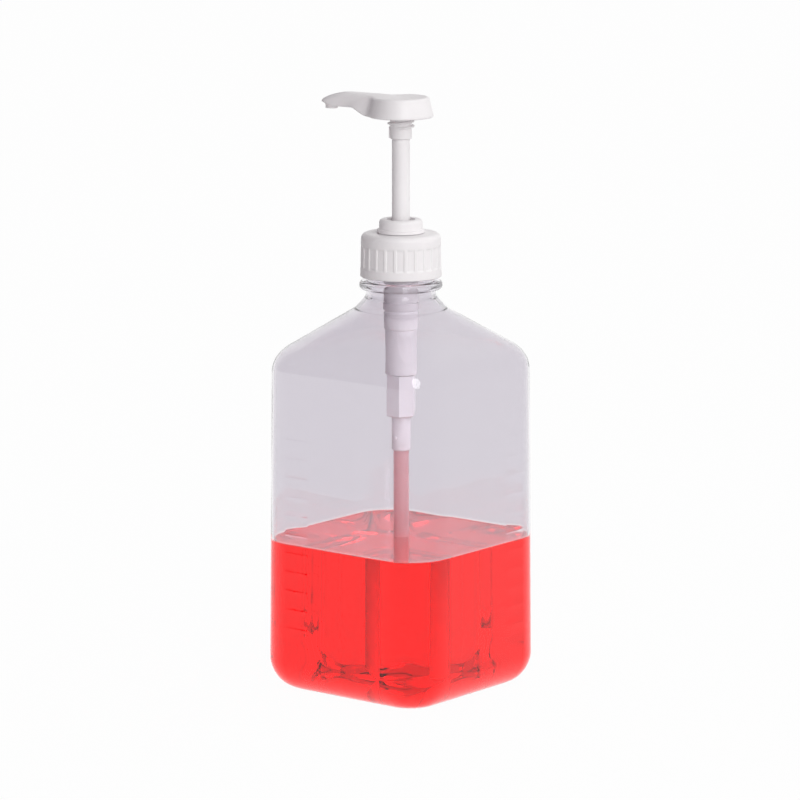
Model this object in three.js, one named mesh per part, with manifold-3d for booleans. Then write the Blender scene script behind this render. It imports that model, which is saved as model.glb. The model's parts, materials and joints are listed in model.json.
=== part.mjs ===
// Syrup pump bottle: a clear square bottle, half full of syrup, with a white hand pump screwed to its neck.
// Millimetres, +Z up. The origin is on the pump's axis, on the surface that the bottle stands on.
// The bottle's four flat sides face +X, -X, +Y and -Y.
import * as THREE from 'three';
import { mergeVertices } from 'three/addons/utils/BufferGeometryUtils.js';
import Module from 'manifold-3d';

const wasm = await Module();
wasm.setup();

// Gaps and overruns
const SEAT_GAP = 0.3;              // between two pieces that rest on or plug into each other
const RUN_GAP = 0.25;              // between a piece that slides or turns and its guide
const CUT_OVERRUN = 1.0;           // how far a cut runs past the face that it opens
const THREAD_ROOT = 0.5;           // how deep a thread's root is sunk in its wall

// Bottle body
const BODY_WIDTH = 110.8;          // across the flats at the foot
const BODY_DRAFT = 2.6;            // narrower than that across the flats at the shoulder
const BODY_CORNER = 21.8;          // radius of the upright corners
const BODY_WALL = 1.2;
const HEEL_RADIUS = 18.0;          // rounding between the side walls and the base
const REST_RING = 4.5;             // width of the flat ring that the bottle stands on
const REST_ROUND = 2.6;            // rounding of the ring's inner edge
const PUSH_UP = 5.5;               // rise of the hollow under the base
const PUSH_UP_SLOPE = 9.0;         // width of the slope from the ring to the hollow's flat roof
const PUSH_UP_ROUND = 5.0;
const SHOULDER_Z = 177.6;          // height where the lines of wall and shoulder would cross
const SHOULDER_ROUND = 17.0;
const NECK_FOOT_RADIUS = 24.2;     // where the shoulder turns up into the neck
const NECK_FOOT_RISE = 24.1;       // from the lines' crossing up to there
const NECK_FOOT_ROUND = 8.0;

// Bottle neck. Its radii, and the cap's, follow from its finish, the stretch that the cap screws to.
const FINISH_RADIUS = 17.3;        // without its thread
const FINISH_WALL = 1.7;
const FINISH_HEIGHT = 19.3;        // from the bead up to the mouth
const FINISH_THREAD = 1.1;         // height of the thread on the neck
const FINISH_THREAD_RISE = 5.7;    // from the bead up to the thread
const FINISH_THREAD_WIDTH = 2.2;
const FINISH_PITCH = 4.2;
const FINISH_TURNS = 1.6;
const NECK_STEP = 0.9;             // how much wider than the finish the plain neck is
const NECK_RISE = 6.9;             // from the neck's foot up to its plain stretch
const NECK_ROUND = 4.0;
const BEAD_STEP = 4.4;             // how much wider than the finish the transfer bead is
const BEAD_RISE = 3.5;             // from the plain stretch's start up to the bead
const BEAD_THICKNESS = 4.2;
const BEAD_ROUND = 1.7;

// Measuring ticks moulded on two sides of the bottle
const TICK_LENGTH = 15.0;
const TICK_WIDTH = 0.9;
const TICK_RISE = 0.35;
const TICK_STEP = 10.0;
const TICK_Z = 36.0;               // height of the lowest tick
const TICK_COUNT = 11;
const TICK_FRONT_X = -26.0;        // middle of the ticks on the front, -Y, side
const TICK_RIGHT_Y = 24.5;         // middle of the ticks on the right, +X, side

// Syrup
const SYRUP_Z = 80.2;              // height of its surface

// Screw cap, its gasket and the pump's flange
const GASKET_THICKNESS = 0.9;
const FLANGE_THICKNESS = 1.6;
const CAP_TOP = 2.3;               // thickness of the cap's top
const CAP_BEAD_GAP = 2.2;          // from the bead up to the cap's lower edge
const CAP_ROOM = 1.7;              // between the finish and the cap's inside
const CAP_WALL = 2.2;              // at the lower edge
const CAP_DRAFT = 0.5;             // thinner than that at the upper edge
const CAP_ROUND = 3.0;
const CAP_EDGE_ROUND = 0.6;
const CAP_THREAD = 0.3;            // height of the thread inside the cap
const CAP_GRIP_BAND = 13.2;        // height of the grip panels
const CAP_GRIP_Z = 2.3;            // from the lower edge up to the panels
const CAP_GRIP_DEPTH = 0.45;
const CAP_RIB_WIDTH = 1.2;
const CAP_RIB_COUNT = 24;

// Lock collar over the cap
const HUB_STEP = 0.5;              // how much wider than the cylinder its hub in the cap is
const HUB_RISE = 1.9;              // height of the hub over the cap's top
const COLLAR_WALL = 1.9;           // round the hub
const COLLAR_HEIGHT = 6.9;
const COLLAR_ROUND = 1.8;
const COLLAR_FLANGE_STEP = 1.2;    // how much wider than the collar its foot is
const COLLAR_FLANGE = 1.7;         // thickness of its foot
const COLLAR_FLANGE_ROUND = 0.7;
const COLLAR_ROOM = 1.8;           // between the head's boss and the collar's bore
const COLLAR_THREAD = 1.1;         // height of the thread inside the collar
const COLLAR_THREAD_DROP = 0.9;    // from the collar's top down to its thread

// Guide and wiper round the stem
const GUIDE_THICKNESS = 2.2;
const WIPER_THICKNESS = 1.5;
const GUIDE_WIDTH = 3.2;

// Pump cylinder
const CYLINDER_BORE = 7.5;
const CYLINDER_WALL = 1.4;         // upper stretch
const CYLINDER_LOWER_WALL = 0.95;
const CYLINDER_LOWER = 24.3;       // length of the lower stretch
const CYLINDER_STEP = 0.6;
const BAND_UP = 37.1;         // from the cylinder's end up to the middle of the raised band
const BAND_WIDTH = 3.4;
const BAND_RISE = 0.35;
const GROOVE_WIDTH = 1.0;
const GROOVE_DEPTH = 0.5;
const VENT_RADIUS = 0.8;           // air hole through the cylinder's wall
const VENT_DROP = 6.6;             // from the bottle's mouth down to it

// Inlet valve under the cylinder
const VALVE_SIDES = 6;             // it is a hexagonal bar outside
const VALVE_INSET = 0.1;           // how far its corners stay inside the cylinder's lower stretch
const VALVE_CHAMFER = 0.5;         // at its lower edge
const VALVE_LENGTH = 21.7;         // from the cylinder's end down to its own
const VALVE_SPIGOT = 5.4;          // length that plugs into the cylinder
const VALVE_ROOM = 0.6;            // between the spring and its bore
const VALVE_RING_WIRE = 0.6;       // radius of the seal ring's section
const VALVE_RING_DROP = 2.4;       // from the spigot's top to the middle of the ring
const SEAT_RADIUS = 2.2;
const SEAT_RISE = 5.2;             // from the valve body's end up to the seat
const INLET_BALL_RADIUS = 3.0;
const INLET_BALL_ROOM = 0.6;       // between the ball and its chamber's wall
const INLET_LIFT = 2.4;
const CAGE_THICKNESS = 1.4;
const CAGE_HOLE = 0.85;
const CAGE_HOLE_CIRCLE = 2.3;
const CAGE_HOLE_COUNT = 6;

// Tube fitting and dip tube
const FITTING_WALL = 0.9;
const FITTING_LENGTH = 18.1;       // from the valve body's end down to its own
const FITTING_SPIGOT_RADIUS = 3.9;
const FITTING_SPIGOT = 2.8;
const FITTING_SOCKET = 14.5;       // depth of the socket that takes the dip tube
const PIP_RADIUS = 0.8;            // moulded pip on the fitting's front
const PIP_RISE = 0.5;
const PIP_UP = 6.8;                // from the fitting's end up to the pip
const TUBE_RADIUS = 4.2;
const TUBE_WALL = 1.0;
const TUBE_FOOT_GAP = 1.8;         // between the tube's lowest point and the bottle's floor
const TUBE_CUT_ANGLE = 35;         // slant of the tube's lower end, in degrees

// Plunger: piston, seals, spring, outlet valve and stem
const STROKE = 47.0;
const STROKE_SPARE = 5.85;         // left between piston and valve body at the end of the stroke
const PISTON_LENGTH = 14.0;
const PISTON_GROOVE = 1.3;         // depth of the grooves between the lands
const PISTON_LAND = 1.5;
const PISTON_WALL = 0.95;          // between the grooves and the bore
const PISTON_SOCKET = 5.0;         // depth of the socket that takes the stem
const PISTON_WEB = 1.0;            // between the socket and the bore that takes the spring
const RING_WIDTH = 2.0;            // width of the guide ring
const CUP_WIDTH = 3.4;             // width of the cup seal
const SPRING_WIRE = 0.5;           // radius of the wire
const SPRING_ROOM = 0.4;           // between the spring and the piston's bore
const SPRING_TURNS = 13;
const OUTLET_SEAT_THICKNESS = 1.2;
const OUTLET_SEAT_RADIUS = 1.6;
const OUTLET_BALL_RADIUS = 2.25;
const OUTLET_BALL_ROOM = 0.5;
const OUTLET_LIFT = 2.0;
const STEM_INSET = 2.85;           // how much smaller than the cylinder's bore the stem's radius is
const STEM_BORE = 2.0;

// Head: round thumb pad, spout and threaded boss
const HEAD_TURN = 188.5;           // direction of the spout in the photograph, in degrees from +X
const BOSS_WALL = 1.05;            // round the stem
const BOSS_LENGTH = 11.2;          // under the pad's skirt
const BOSS_DOWN_GAP = 0.2;         // from the hub up to the boss at the end of the stroke
const BOSS_SOCKET_DROP = 4.0;      // from the roof under the pad down to the top of the stem's socket
const BOSS_THREAD_RISE = 5.0;      // from the boss's end up to the lock thread
const BOSS_THREAD = 1.3;           // height of the lock thread
const BOSS_THREAD_WIDTH = 1.5;
const BOSS_PITCH = 2.6;
const BOSS_TURNS = 1.75;
const PAD_HEIGHT = 10.7;           // from the skirt's lower edge up to the rim
const PAD_RADIUS = 14.9;           // at the rim
const PAD_FLARE = 2.0;             // wider than that at the skirt's lower edge
const PAD_DISH = 0.9;              // depth of the dish for the thumb
const PAD_ROUND = 1.1;
const PAD_SKIRT_ROUND = 0.8;
const PAD_WALL = 2.0;
const PAD_RIB = 1.2;               // thickness of the ribs under the pad
const PAD_RIB_COUNT = 6;
const PAD_TOP_WALL = 4.4;          // from the roof of the hollow under the pad up to the dish
const SPOUT_REACH = 47.0;          // from the axis to the tip
const SPOUT_ROOT_HALF_WIDTH = 7.6;
const SPOUT_TIP_HALF_WIDTH = 4.6;
const SPOUT_RISE = 0.6;            // top of the spout's hump over the pad's rim
const SPOUT_HUMP_X = 31.2;         // distance of the hump from the axis
const SPOUT_DROP = 4.8;            // fall of the top from the hump to the tip
const SPOUT_SADDLE = 0.1;          // fall of the top from the hump back to the pad's rim
const SPOUT_CROWN = 1.0;           // fall of the top from the middle to the edges
const SPOUT_UNDER_DROP = 6.9;      // from the pad's rim down to the spout's underside
const SPOUT_UNDER_START = 15.5;    // where the underside leaves the skirt
const SPOUT_UNDER_END = 27.0;      // where the underside runs level
const SPOUT_ROUND = 2.4;
const SPOUT_SLANT = 2.3;           // how far the tip leans in at its lower edge
const SPOUT_BLEND = 5.0;           // size of the hollow between pad and spout
const NOZZLE_X = 41.6;
const NOZZLE_RADIUS = 3.3;
const NOZZLE_DROP = 1.5;           // length of the nozzle under the spout
const NOZZLE_BORE = 1.8;
const CHANNEL_RADIUS = 1.3;
const CHANNEL_FALL = 0.9;          // from its start over the stem down to its end over the nozzle

// Facets
const FINE_SIDES = 48;
const SIDES = 20;
const SMALL_SIDES = 12;
const ARC_STEPS = 3;
const HEEL_STEPS = 4;               // facets of the bottle's heel and of its shoulder's edge
const EDGE_STEPS = 2;              // facets of a small rounded edge
const CORNER_STEPS = 4;            // facets of each upright corner of the bottle
const FLAT_STEPS = 4;              // facets of each flat side of the bottle
const THREAD_STEPS = 24;           // facets of each turn of a thread
const SPRING_STEPS = 8;
const WIRE_SIDES = 5;
const HOLE_SIDES = 8;
const HEAD_SIDES = 36;
const BISECTIONS = 40;

// Shares of the sizes that they name
const THREAD_CREST_SHARE = 0.4;                      // of the thread's width at its root
const BASE_CORNER_SHARE = 0.75;                      // of the body's corner scaled with the half width
const THREAD_END_SHARE = 0.1;                        // of a thread's section, at its two ends
const THREAD_GROWTH_SHARE = 0.35;                    // of that section, added at each facet from an end
const JOIN_SINK_SHARE = 0.3;                         // of a piece's thickness, sunk into the other to join
const HEAD_TOP_SHARES = [0.2, 0.36, 0.5, 0.64, 0.78, 0.9];    // of the outline's reach, over the top
const HEAD_UNDER_SHARES = [0.84, 0.68, 0.54, 0.4];   // of the outline's reach, under the spout
const SPOUT_FLOW_SHARES = [-0.15, 0.9];              // of the pad's radius, where the spout's top flows in
const SLANT_START_SHARE = 0.72;                      // of the spout's reach
const CUP_LIP_SHARE = 0.3;                           // of the cup seal's thickness, each lip
const CUP_NOTCH_SHARE = 0.4;                         // of the cup seal's width
const WIPER_LIP_SHARE = 0.4;                         // of the wiper's thickness, at its lip
const PAD_RIB_SHARE = 0.6;                           // of the depth of the hollow under the pad

// Heights and radii that follow in the bottle
const NECK_FOOT_Z = SHOULDER_Z + NECK_FOOT_RISE;
const NECK_Z = NECK_FOOT_Z + NECK_RISE;
const BEAD_Z = NECK_Z + BEAD_RISE;
const BEAD_TOP_Z = BEAD_Z + BEAD_THICKNESS;
const FINISH_THREAD_Z = BEAD_TOP_Z + FINISH_THREAD_RISE;
const MOUTH_Z = BEAD_TOP_Z + FINISH_HEIGHT;
const MOUTH_RADIUS = FINISH_RADIUS - FINISH_WALL;
const NECK_RADIUS = FINISH_RADIUS + NECK_STEP;
const BEAD_RADIUS = FINISH_RADIUS + BEAD_STEP;

// Radii that follow from the cylinder's bore and from the finish
const CYLINDER_RADIUS = CYLINDER_BORE + CYLINDER_WALL;
const CYLINDER_LOWER_RADIUS = CYLINDER_BORE + CYLINDER_LOWER_WALL;
const PISTON_RADIUS = CYLINDER_BORE - RUN_GAP;
const PISTON_NECK = PISTON_RADIUS - PISTON_GROOVE;
const PISTON_BORE = PISTON_NECK - PISTON_WALL;
const SPRING_RADIUS = PISTON_BORE - SPRING_ROOM - SPRING_WIRE;
const VALVE_BORE = SPRING_RADIUS + SPRING_WIRE + VALVE_ROOM;
const VALVE_RADIUS = CYLINDER_LOWER_RADIUS - VALVE_INSET;
const STEM_RADIUS = CYLINDER_BORE - STEM_INSET;
const BOSS_RADIUS = STEM_RADIUS + BOSS_WALL;
const COLLAR_BORE = BOSS_RADIUS + COLLAR_ROOM;
const HUB_RADIUS = CYLINDER_RADIUS + HUB_STEP;
const COLLAR_RADIUS = HUB_RADIUS + COLLAR_WALL;
const COLLAR_FLANGE_RADIUS = COLLAR_RADIUS + COLLAR_FLANGE_STEP;
const FITTING_RADIUS = TUBE_RADIUS + FITTING_WALL;
const FLANGE_RADIUS = FINISH_RADIUS - SEAT_GAP;
const CAP_INNER_RADIUS = FINISH_RADIUS + CAP_ROOM;
const CAP_RADIUS = CAP_INNER_RADIUS + CAP_WALL;

// Heights that follow from the stack over the bottle's mouth
const GASKET_Z = MOUTH_Z + SEAT_GAP;
const FLANGE_Z = GASKET_Z + GASKET_THICKNESS + SEAT_GAP;
const CAP_UNDER_Z = FLANGE_Z + FLANGE_THICKNESS + SEAT_GAP;
const CAP_TOP_Z = CAP_UNDER_Z + CAP_TOP;
const CAP_Z = BEAD_TOP_Z + CAP_BEAD_GAP;
const CAP_HEIGHT = CAP_TOP_Z - CAP_Z;
const COLLAR_Z = CAP_TOP_Z + SEAT_GAP;
const HUB_TOP_Z = CAP_TOP_Z + HUB_RISE;
const COLLAR_LEDGE_Z = HUB_TOP_Z + SEAT_GAP;
const WIPER_Z = HUB_TOP_Z - SEAT_GAP / 2 - WIPER_THICKNESS;
const GUIDE_Z = WIPER_Z - SEAT_GAP - GUIDE_THICKNESS;
const GUIDE_LEDGE_Z = GUIDE_Z - SEAT_GAP;

// Heights that follow in the plunger, the cylinder and the inlet valve
const PISTON_TOP_Z = GUIDE_Z - SEAT_GAP;
const PISTON_Z = PISTON_TOP_Z - PISTON_LENGTH;
const SOCKET_Z = PISTON_TOP_Z - PISTON_SOCKET;
const SPRING_TOP_Z = SOCKET_Z - PISTON_WEB - SEAT_GAP;
const OUTLET_SEAT_Z = SOCKET_Z + SEAT_GAP;
const STEM_Z = OUTLET_SEAT_Z + OUTLET_SEAT_THICKNESS + SEAT_GAP;
const VALVE_SPIGOT_Z = PISTON_Z - STROKE - STROKE_SPARE;
const CYLINDER_END_Z = VALVE_SPIGOT_Z - VALVE_SPIGOT;
const CYLINDER_STEP_Z = CYLINDER_END_Z + CYLINDER_LOWER;
const BAND_Z = CYLINDER_END_Z + BAND_UP;
const VENT_Z = MOUTH_Z - VENT_DROP;
const VALVE_END_Z = CYLINDER_END_Z - VALVE_LENGTH;
const SEAT_Z = VALVE_END_Z + SEAT_RISE;
const FITTING_END_Z = VALVE_END_Z - FITTING_LENGTH;
const INLET_CHAMBER = INLET_BALL_RADIUS + INLET_BALL_ROOM;
const INLET_BALL_Z = SEAT_Z + SEAT_GAP + rise(INLET_BALL_RADIUS, SEAT_RADIUS);
const CAGE_Z = INLET_BALL_Z + INLET_BALL_RADIUS + INLET_LIFT + SEAT_GAP;
const SPRING_Z = CAGE_Z + CAGE_THICKNESS + SEAT_GAP;
const OUTLET_CHAMBER = OUTLET_BALL_RADIUS + OUTLET_BALL_ROOM;
const OUTLET_BALL_Z = STEM_Z + rise(OUTLET_BALL_RADIUS, OUTLET_SEAT_RADIUS);
const OUTLET_STOP_Z = OUTLET_BALL_Z + OUTLET_LIFT + SEAT_GAP + rise(OUTLET_BALL_RADIUS, STEM_BORE);
const FLOOR_Z = PUSH_UP + BODY_WALL;
const TUBE_Z = FLOOR_Z + TUBE_FOOT_GAP;
const TUBE_TOP_Z = FITTING_END_Z + FITTING_SOCKET - SEAT_GAP;

// Heights that follow in the head, whose boss comes down to the hub at the end of the stroke
const BOSS_END_Z = HUB_TOP_Z + BOSS_DOWN_GAP + STROKE;
const BOSS_THREAD_Z = BOSS_END_Z + BOSS_THREAD_RISE;
const PAD_Z = BOSS_END_Z + BOSS_LENGTH;
const PAD_TOP_Z = PAD_Z + PAD_HEIGHT;
const PAD_ROOF_Z = PAD_TOP_Z - PAD_DISH - PAD_TOP_WALL;
const BOSS_SOCKET_Z = PAD_ROOF_Z - BOSS_SOCKET_DROP;
const STEM_TOP_Z = BOSS_SOCKET_Z - SEAT_GAP;
const SPOUT_TOP_Z = PAD_TOP_Z + SPOUT_RISE;
const SPOUT_UNDER_Z = PAD_TOP_Z - SPOUT_UNDER_DROP;
const CHANNEL_Z = PAD_ROOF_Z + PAD_TOP_WALL / 2;

// How far a ball's centre stands over the edge of a round hole that it rests in.
function rise(ballRadius, holeRadius) {
  return Math.sqrt(ballRadius ** 2 - holeRadius ** 2);
}

function smoothstep(from, to, x) {
  const t = Math.min(Math.max((x - from) / (to - from), 0), 1);
  return t * t * (3 - 2 * t);
}

function mix(a, b, t) {
  return a + (b - a) * t;
}

// Replaces each corner [x, y, radius, steps] of an outline by an arc. Without a radius it stays sharp.
function rounded(corners, closed = false) {
  const points = [];
  const count = corners.length;
  corners.forEach(([x, y, radius = 0, steps = ARC_STEPS], i) => {
    const corner = new THREE.Vector2(x, y);
    const isEnd = !closed && (i === 0 || i === count - 1);
    if (radius === 0 || isEnd) {
      points.push(corner);
      return;
    }
    const [beforeX, beforeY] = corners[(i + count - 1) % count];
    const [afterX, afterY] = corners[(i + 1) % count];
    const back = new THREE.Vector2(beforeX, beforeY).sub(corner).normalize();
    const on = new THREE.Vector2(afterX, afterY).sub(corner).normalize();
    const half = Math.acos(THREE.MathUtils.clamp(back.dot(on), -1, 1)) / 2;
    const bisector = back.clone().add(on).normalize();
    const centre = corner.clone().addScaledVector(bisector, radius / Math.sin(half));
    const start = corner.clone().addScaledVector(back, radius / Math.tan(half)).sub(centre);
    const end = corner.clone().addScaledVector(on, radius / Math.tan(half)).sub(centre);
    const sweep = Math.atan2(start.cross(end), start.dot(end));
    for (let k = 0; k <= steps; k += 1) {
      const turned = start.clone().rotateAround(new THREE.Vector2(), sweep * k / steps);
      points.push(turned.add(centre));
    }
  });
  return points;
}

// Leaves only positions, merges the points that lie together and drops the triangles that this empties.
function welded(geometry) {
  geometry.deleteAttribute('normal');
  geometry.deleteAttribute('uv');
  const merged = mergeVertices(geometry);
  const index = merged.getIndex().array;
  const kept = [];
  for (let i = 0; i < index.length; i += 3) {
    const [a, b, c] = index.subarray(i, i + 3);
    if (a !== b && b !== c && c !== a) kept.push(a, b, c);
  }
  merged.setIndex(kept);
  return merged;
}

// Turns an outline of [radius, height] corners round the Z axis. It runs up its outside.
function turned(corners, sides, closed = false) {
  const points = rounded(corners, closed);
  if (closed) points.push(points[0].clone());
  return welded(new THREE.LatheGeometry(points, sides).rotateX(Math.PI / 2));
}

// A ring or sleeve with square edges.
function sleeve(inner, outer, low, high, sides) {
  return turned([[inner, low], [outer, low], [outer, high], [inner, high]], sides, true);
}

// A plain round bar.
function bar(radius, low, high, sides) {
  return turned([[0, low], [radius, low], [radius, high], [0, high]], sides);
}

// Closes a stack of rings, each with the same number of points, between two end points.
function stacked(rings, first, last) {
  const positions = [first, ...rings.flat(), last].flatMap((point) => point);
  const count = rings[0].length;
  const end = rings.length * count + 1;
  const index = [];
  for (let i = 0; i < count; i += 1) {
    const next = (i + 1) % count;
    index.push(0, 1 + next, 1 + i);
    for (let k = 0; k < rings.length - 1; k += 1) {
      const low = 1 + k * count;
      const high = low + count;
      index.push(low + i, low + next, high + i, low + next, high + next, high + i);
    }
    index.push(end - count + i, end - count + next, end);
  }
  const geometry = new THREE.BufferGeometry();
  geometry.setAttribute('position', new THREE.Float32BufferAttribute(positions, 3));
  geometry.setIndex(index);
  return geometry;
}

// Carries a closed section along a helix. The section is a list of [outward, upward] offsets from the
// helix, and swell(t) is its share of full size at the share t of the way.
function helix(radius, low, pitch, turns, section, stepsPerTurn, swell = () => 1) {
  const steps = Math.round(turns * stepsPerTurn);
  const rings = [];
  const middles = [];
  for (let k = 0; k <= steps; k += 1) {
    const angle = 2 * Math.PI * turns * k / steps;
    const z = low + pitch * turns * k / steps;
    const size = swell(k / steps);
    middles.push([radius * Math.cos(angle), radius * Math.sin(angle), z]);
    rings.push(section.map(([out, up]) => {
      const r = radius + out * size;
      return [r * Math.cos(angle), r * Math.sin(angle), z + up * size];
    }));
  }
  return stacked(rings, middles[0], middles[steps]);
}

// A thread's ridge. It stands out of a wall when height is positive, and into a bore when negative.
// Its root is sunk in the wall, and at both its ends it runs out to nothing there.
function ridge(wallRadius, height, width, low, pitch, turns) {
  const root = THREAD_ROOT * Math.sign(height);
  const crest = width * THREAD_CREST_SHARE / 2;
  const section = [[0, -width / 2], [height + root, -crest], [height + root, crest], [0, width / 2]];
  const ordered = height > 0 ? section.reverse() : section;
  const steps = turns * THREAD_STEPS;
  const swell = (t) => Math.min(1, THREAD_END_SHARE + THREAD_GROWTH_SHARE * Math.min(t, 1 - t) * steps);
  return helix(wallRadius - root, low + width / 2, pitch, turns, ordered, THREAD_STEPS, swell);
}

// Boolean work on closed meshes.
function toSolid(geometry) {
  const clean = welded(geometry);
  const vertProperties = new Float32Array(clean.getAttribute('position').array);
  const triVerts = new Uint32Array(clean.getIndex().array);
  return new wasm.Manifold(new wasm.Mesh({ numProp: 3, vertProperties, triVerts }));
}

function toGeometry(solid) {
  const { vertProperties, triVerts } = solid.getMesh();
  const geometry = new THREE.BufferGeometry();
  geometry.setAttribute('position', new THREE.BufferAttribute(new Float32Array(vertProperties), 3));
  geometry.setIndex(new THREE.BufferAttribute(new Uint32Array(triVerts), 1));
  return geometry;
}

function joined(base, ...others) {
  return toGeometry(others.reduce((sum, other) => sum.add(toSolid(other)), toSolid(base)));
}

function cut(base, ...tools) {
  return toGeometry(tools.reduce((rest, tool) => rest.subtract(toSolid(tool)), toSolid(base)));
}

// Copies of a shape, made by a function of their angle, evenly spaced round the Z axis.
function around(count, shapeAt) {
  return Array.from({ length: count }, (_, i) => shapeAt(2 * Math.PI * i / count));
}

// Polar angles of the bottle's rings: close together on the upright corners, wide on the flat sides.
function bottleAngles() {
  const half = BODY_WIDTH / 2;
  const flatEnd = Math.atan2(half - BODY_CORNER, half);
  const angles = [];
  for (let side = 0; side < 4; side += 1) {
    const middle = side * Math.PI / 2;
    for (let i = 0; i < FLAT_STEPS; i += 1) {
      angles.push(middle + flatEnd * (2 * i / FLAT_STEPS - 1));
    }
    const cornerSpan = Math.PI / 2 - 2 * flatEnd;
    for (let i = 0; i < CORNER_STEPS; i += 1) {
      angles.push(middle + flatEnd + cornerSpan * i / CORNER_STEPS);
    }
  }
  return angles;
}

// Distance from the axis to a square of the given half width and corner radius, at a polar angle.
function squareRadius(half, corner, angle) {
  const folded = Math.abs(Math.atan2(Math.sin(2 * angle), Math.cos(2 * angle)));
  const quarter = Math.min(folded, Math.PI - folded) / 2;
  const flat = half - corner;
  if (half * Math.tan(quarter) <= flat) return half / Math.cos(quarter);
  const sum = flat * (Math.cos(quarter) + Math.sin(quarter));
  return sum + Math.sqrt(Math.max(0, corner ** 2 - flat ** 2 * (1 - Math.sin(2 * quarter))));
}

// Corner radius of the bottle's section where its half width is half: a circle at the neck, BODY_CORNER on
// the body and a softer square under the base. inset is the wall that lies outside this surface.
function bottleCorner(half, z, inset) {
  const bodyHalf = BODY_WIDTH / 2 - inset;
  const bodyCorner = BODY_CORNER - inset;
  if (z < HEEL_RADIUS) {
    return Math.max(bodyCorner - (bodyHalf - half), BASE_CORNER_SHARE * bodyCorner * half / bodyHalf);
  }
  const neck = NECK_FOOT_RADIUS - inset;
  const shoulderHalf = (BODY_WIDTH - BODY_DRAFT) / 2 - inset;
  const t = THREE.MathUtils.clamp((half - neck) / (shoulderHalf - neck), 0, 1);
  return mix(Math.min(half, neck), bodyCorner, t);
}

function bottleRing(half, z, inset, angles) {
  const corner = bottleCorner(half, z, inset);
  return angles.map((angle) => {
    const r = squareRadius(half, corner, angle);
    return [r * Math.cos(angle), r * Math.sin(angle), z];
  });
}

// Half width and height of the bottle's surface from the middle of its base to the foot of its neck,
// inset by a wall. Its arcs keep the same centres at every inset.
function bottleOutline(inset) {
  const foot = BODY_WIDTH / 2 - inset;
  const shoulder = (BODY_WIDTH - BODY_DRAFT) / 2 - inset;
  const restOut = BODY_WIDTH / 2 - HEEL_RADIUS;
  const restIn = restOut - REST_RING;
  const drop = inset * NECK_FOOT_RADIUS / BODY_WIDTH;
  return [
    [restIn - PUSH_UP_SLOPE, PUSH_UP + inset, PUSH_UP_ROUND + inset],
    [restIn, inset, REST_ROUND - inset, EDGE_STEPS],
    [foot, inset, HEEL_RADIUS - inset, HEEL_STEPS],
    [shoulder, SHOULDER_Z - drop, SHOULDER_ROUND - inset, HEEL_STEPS],
    [NECK_FOOT_RADIUS - inset, NECK_FOOT_Z - drop, NECK_FOOT_ROUND + inset],
  ];
}

function bottleShell() {
  const angles = bottleAngles();
  const outside = rounded([
    [0, PUSH_UP],
    ...bottleOutline(0),
    [NECK_RADIUS, NECK_Z, NECK_ROUND],
    [NECK_RADIUS, BEAD_Z],
    [BEAD_RADIUS, BEAD_Z, BEAD_ROUND, EDGE_STEPS],
    [BEAD_RADIUS, BEAD_TOP_Z, BEAD_ROUND, EDGE_STEPS],
    [FINISH_RADIUS, BEAD_TOP_Z],
    [FINISH_RADIUS, MOUTH_Z],
  ]).slice(1);
  const inside = rounded([
    [0, FLOOR_Z],
    ...bottleOutline(BODY_WALL),
    [MOUTH_RADIUS, NECK_Z, NECK_ROUND],
    [MOUTH_RADIUS, MOUTH_Z],
  ]).slice(1).reverse();
  const rings = [
    ...outside.map(({ x, y }) => bottleRing(x, y, 0, angles)),
    ...inside.map(({ x, y }) => bottleRing(x, y, BODY_WALL, angles)),
  ];
  const shell = stacked(rings, [0, 0, PUSH_UP], [0, 0, FLOOR_Z]);
  const thread = ridge(FINISH_RADIUS, FINISH_THREAD, FINISH_THREAD_WIDTH, FINISH_THREAD_Z, FINISH_PITCH,
    FINISH_TURNS);
  return joined(shell, thread, ...bottleTicks());
}

// Raised measuring ticks on the front and right sides. Each stands on the wall's slight slope.
function bottleTicks() {
  const ticks = [];
  for (let i = 0; i < TICK_COUNT; i += 1) {
    const z = TICK_Z + i * TICK_STEP;
    const wall = (BODY_WIDTH - BODY_DRAFT * z / SHOULDER_Z) / 2;
    const depth = TICK_RISE + BODY_WALL * JOIN_SINK_SHARE;
    const middle = wall + TICK_RISE - depth / 2;
    ticks.push(new THREE.BoxGeometry(TICK_LENGTH, depth, TICK_WIDTH).translate(TICK_FRONT_X, -middle, z));
    ticks.push(new THREE.BoxGeometry(depth, TICK_LENGTH, TICK_WIDTH).translate(middle, TICK_RIGHT_Y, z));
  }
  return ticks;
}

// The syrup fills the bottle's inside up to its surface, round the dip tube.
function syrup() {
  const angles = bottleAngles();
  const inset = BODY_WALL + SEAT_GAP;
  const top = (BODY_WIDTH - BODY_DRAFT * SYRUP_Z / SHOULDER_Z) / 2 - inset;
  const outline = rounded([
    [0, FLOOR_Z + SEAT_GAP],
    ...bottleOutline(inset).slice(0, 3),
    [top, SYRUP_Z],
  ]).slice(1);
  const rings = outline.map(({ x, y }) => bottleRing(x, y, inset, angles));
  const block = stacked(rings, [0, 0, FLOOR_Z + SEAT_GAP], [0, 0, SYRUP_Z]);
  return cut(block, bar(TUBE_RADIUS + SEAT_GAP, FLOOR_Z - CUT_OVERRUN, SYRUP_Z + CUT_OVERRUN, SMALL_SIDES));
}

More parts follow.
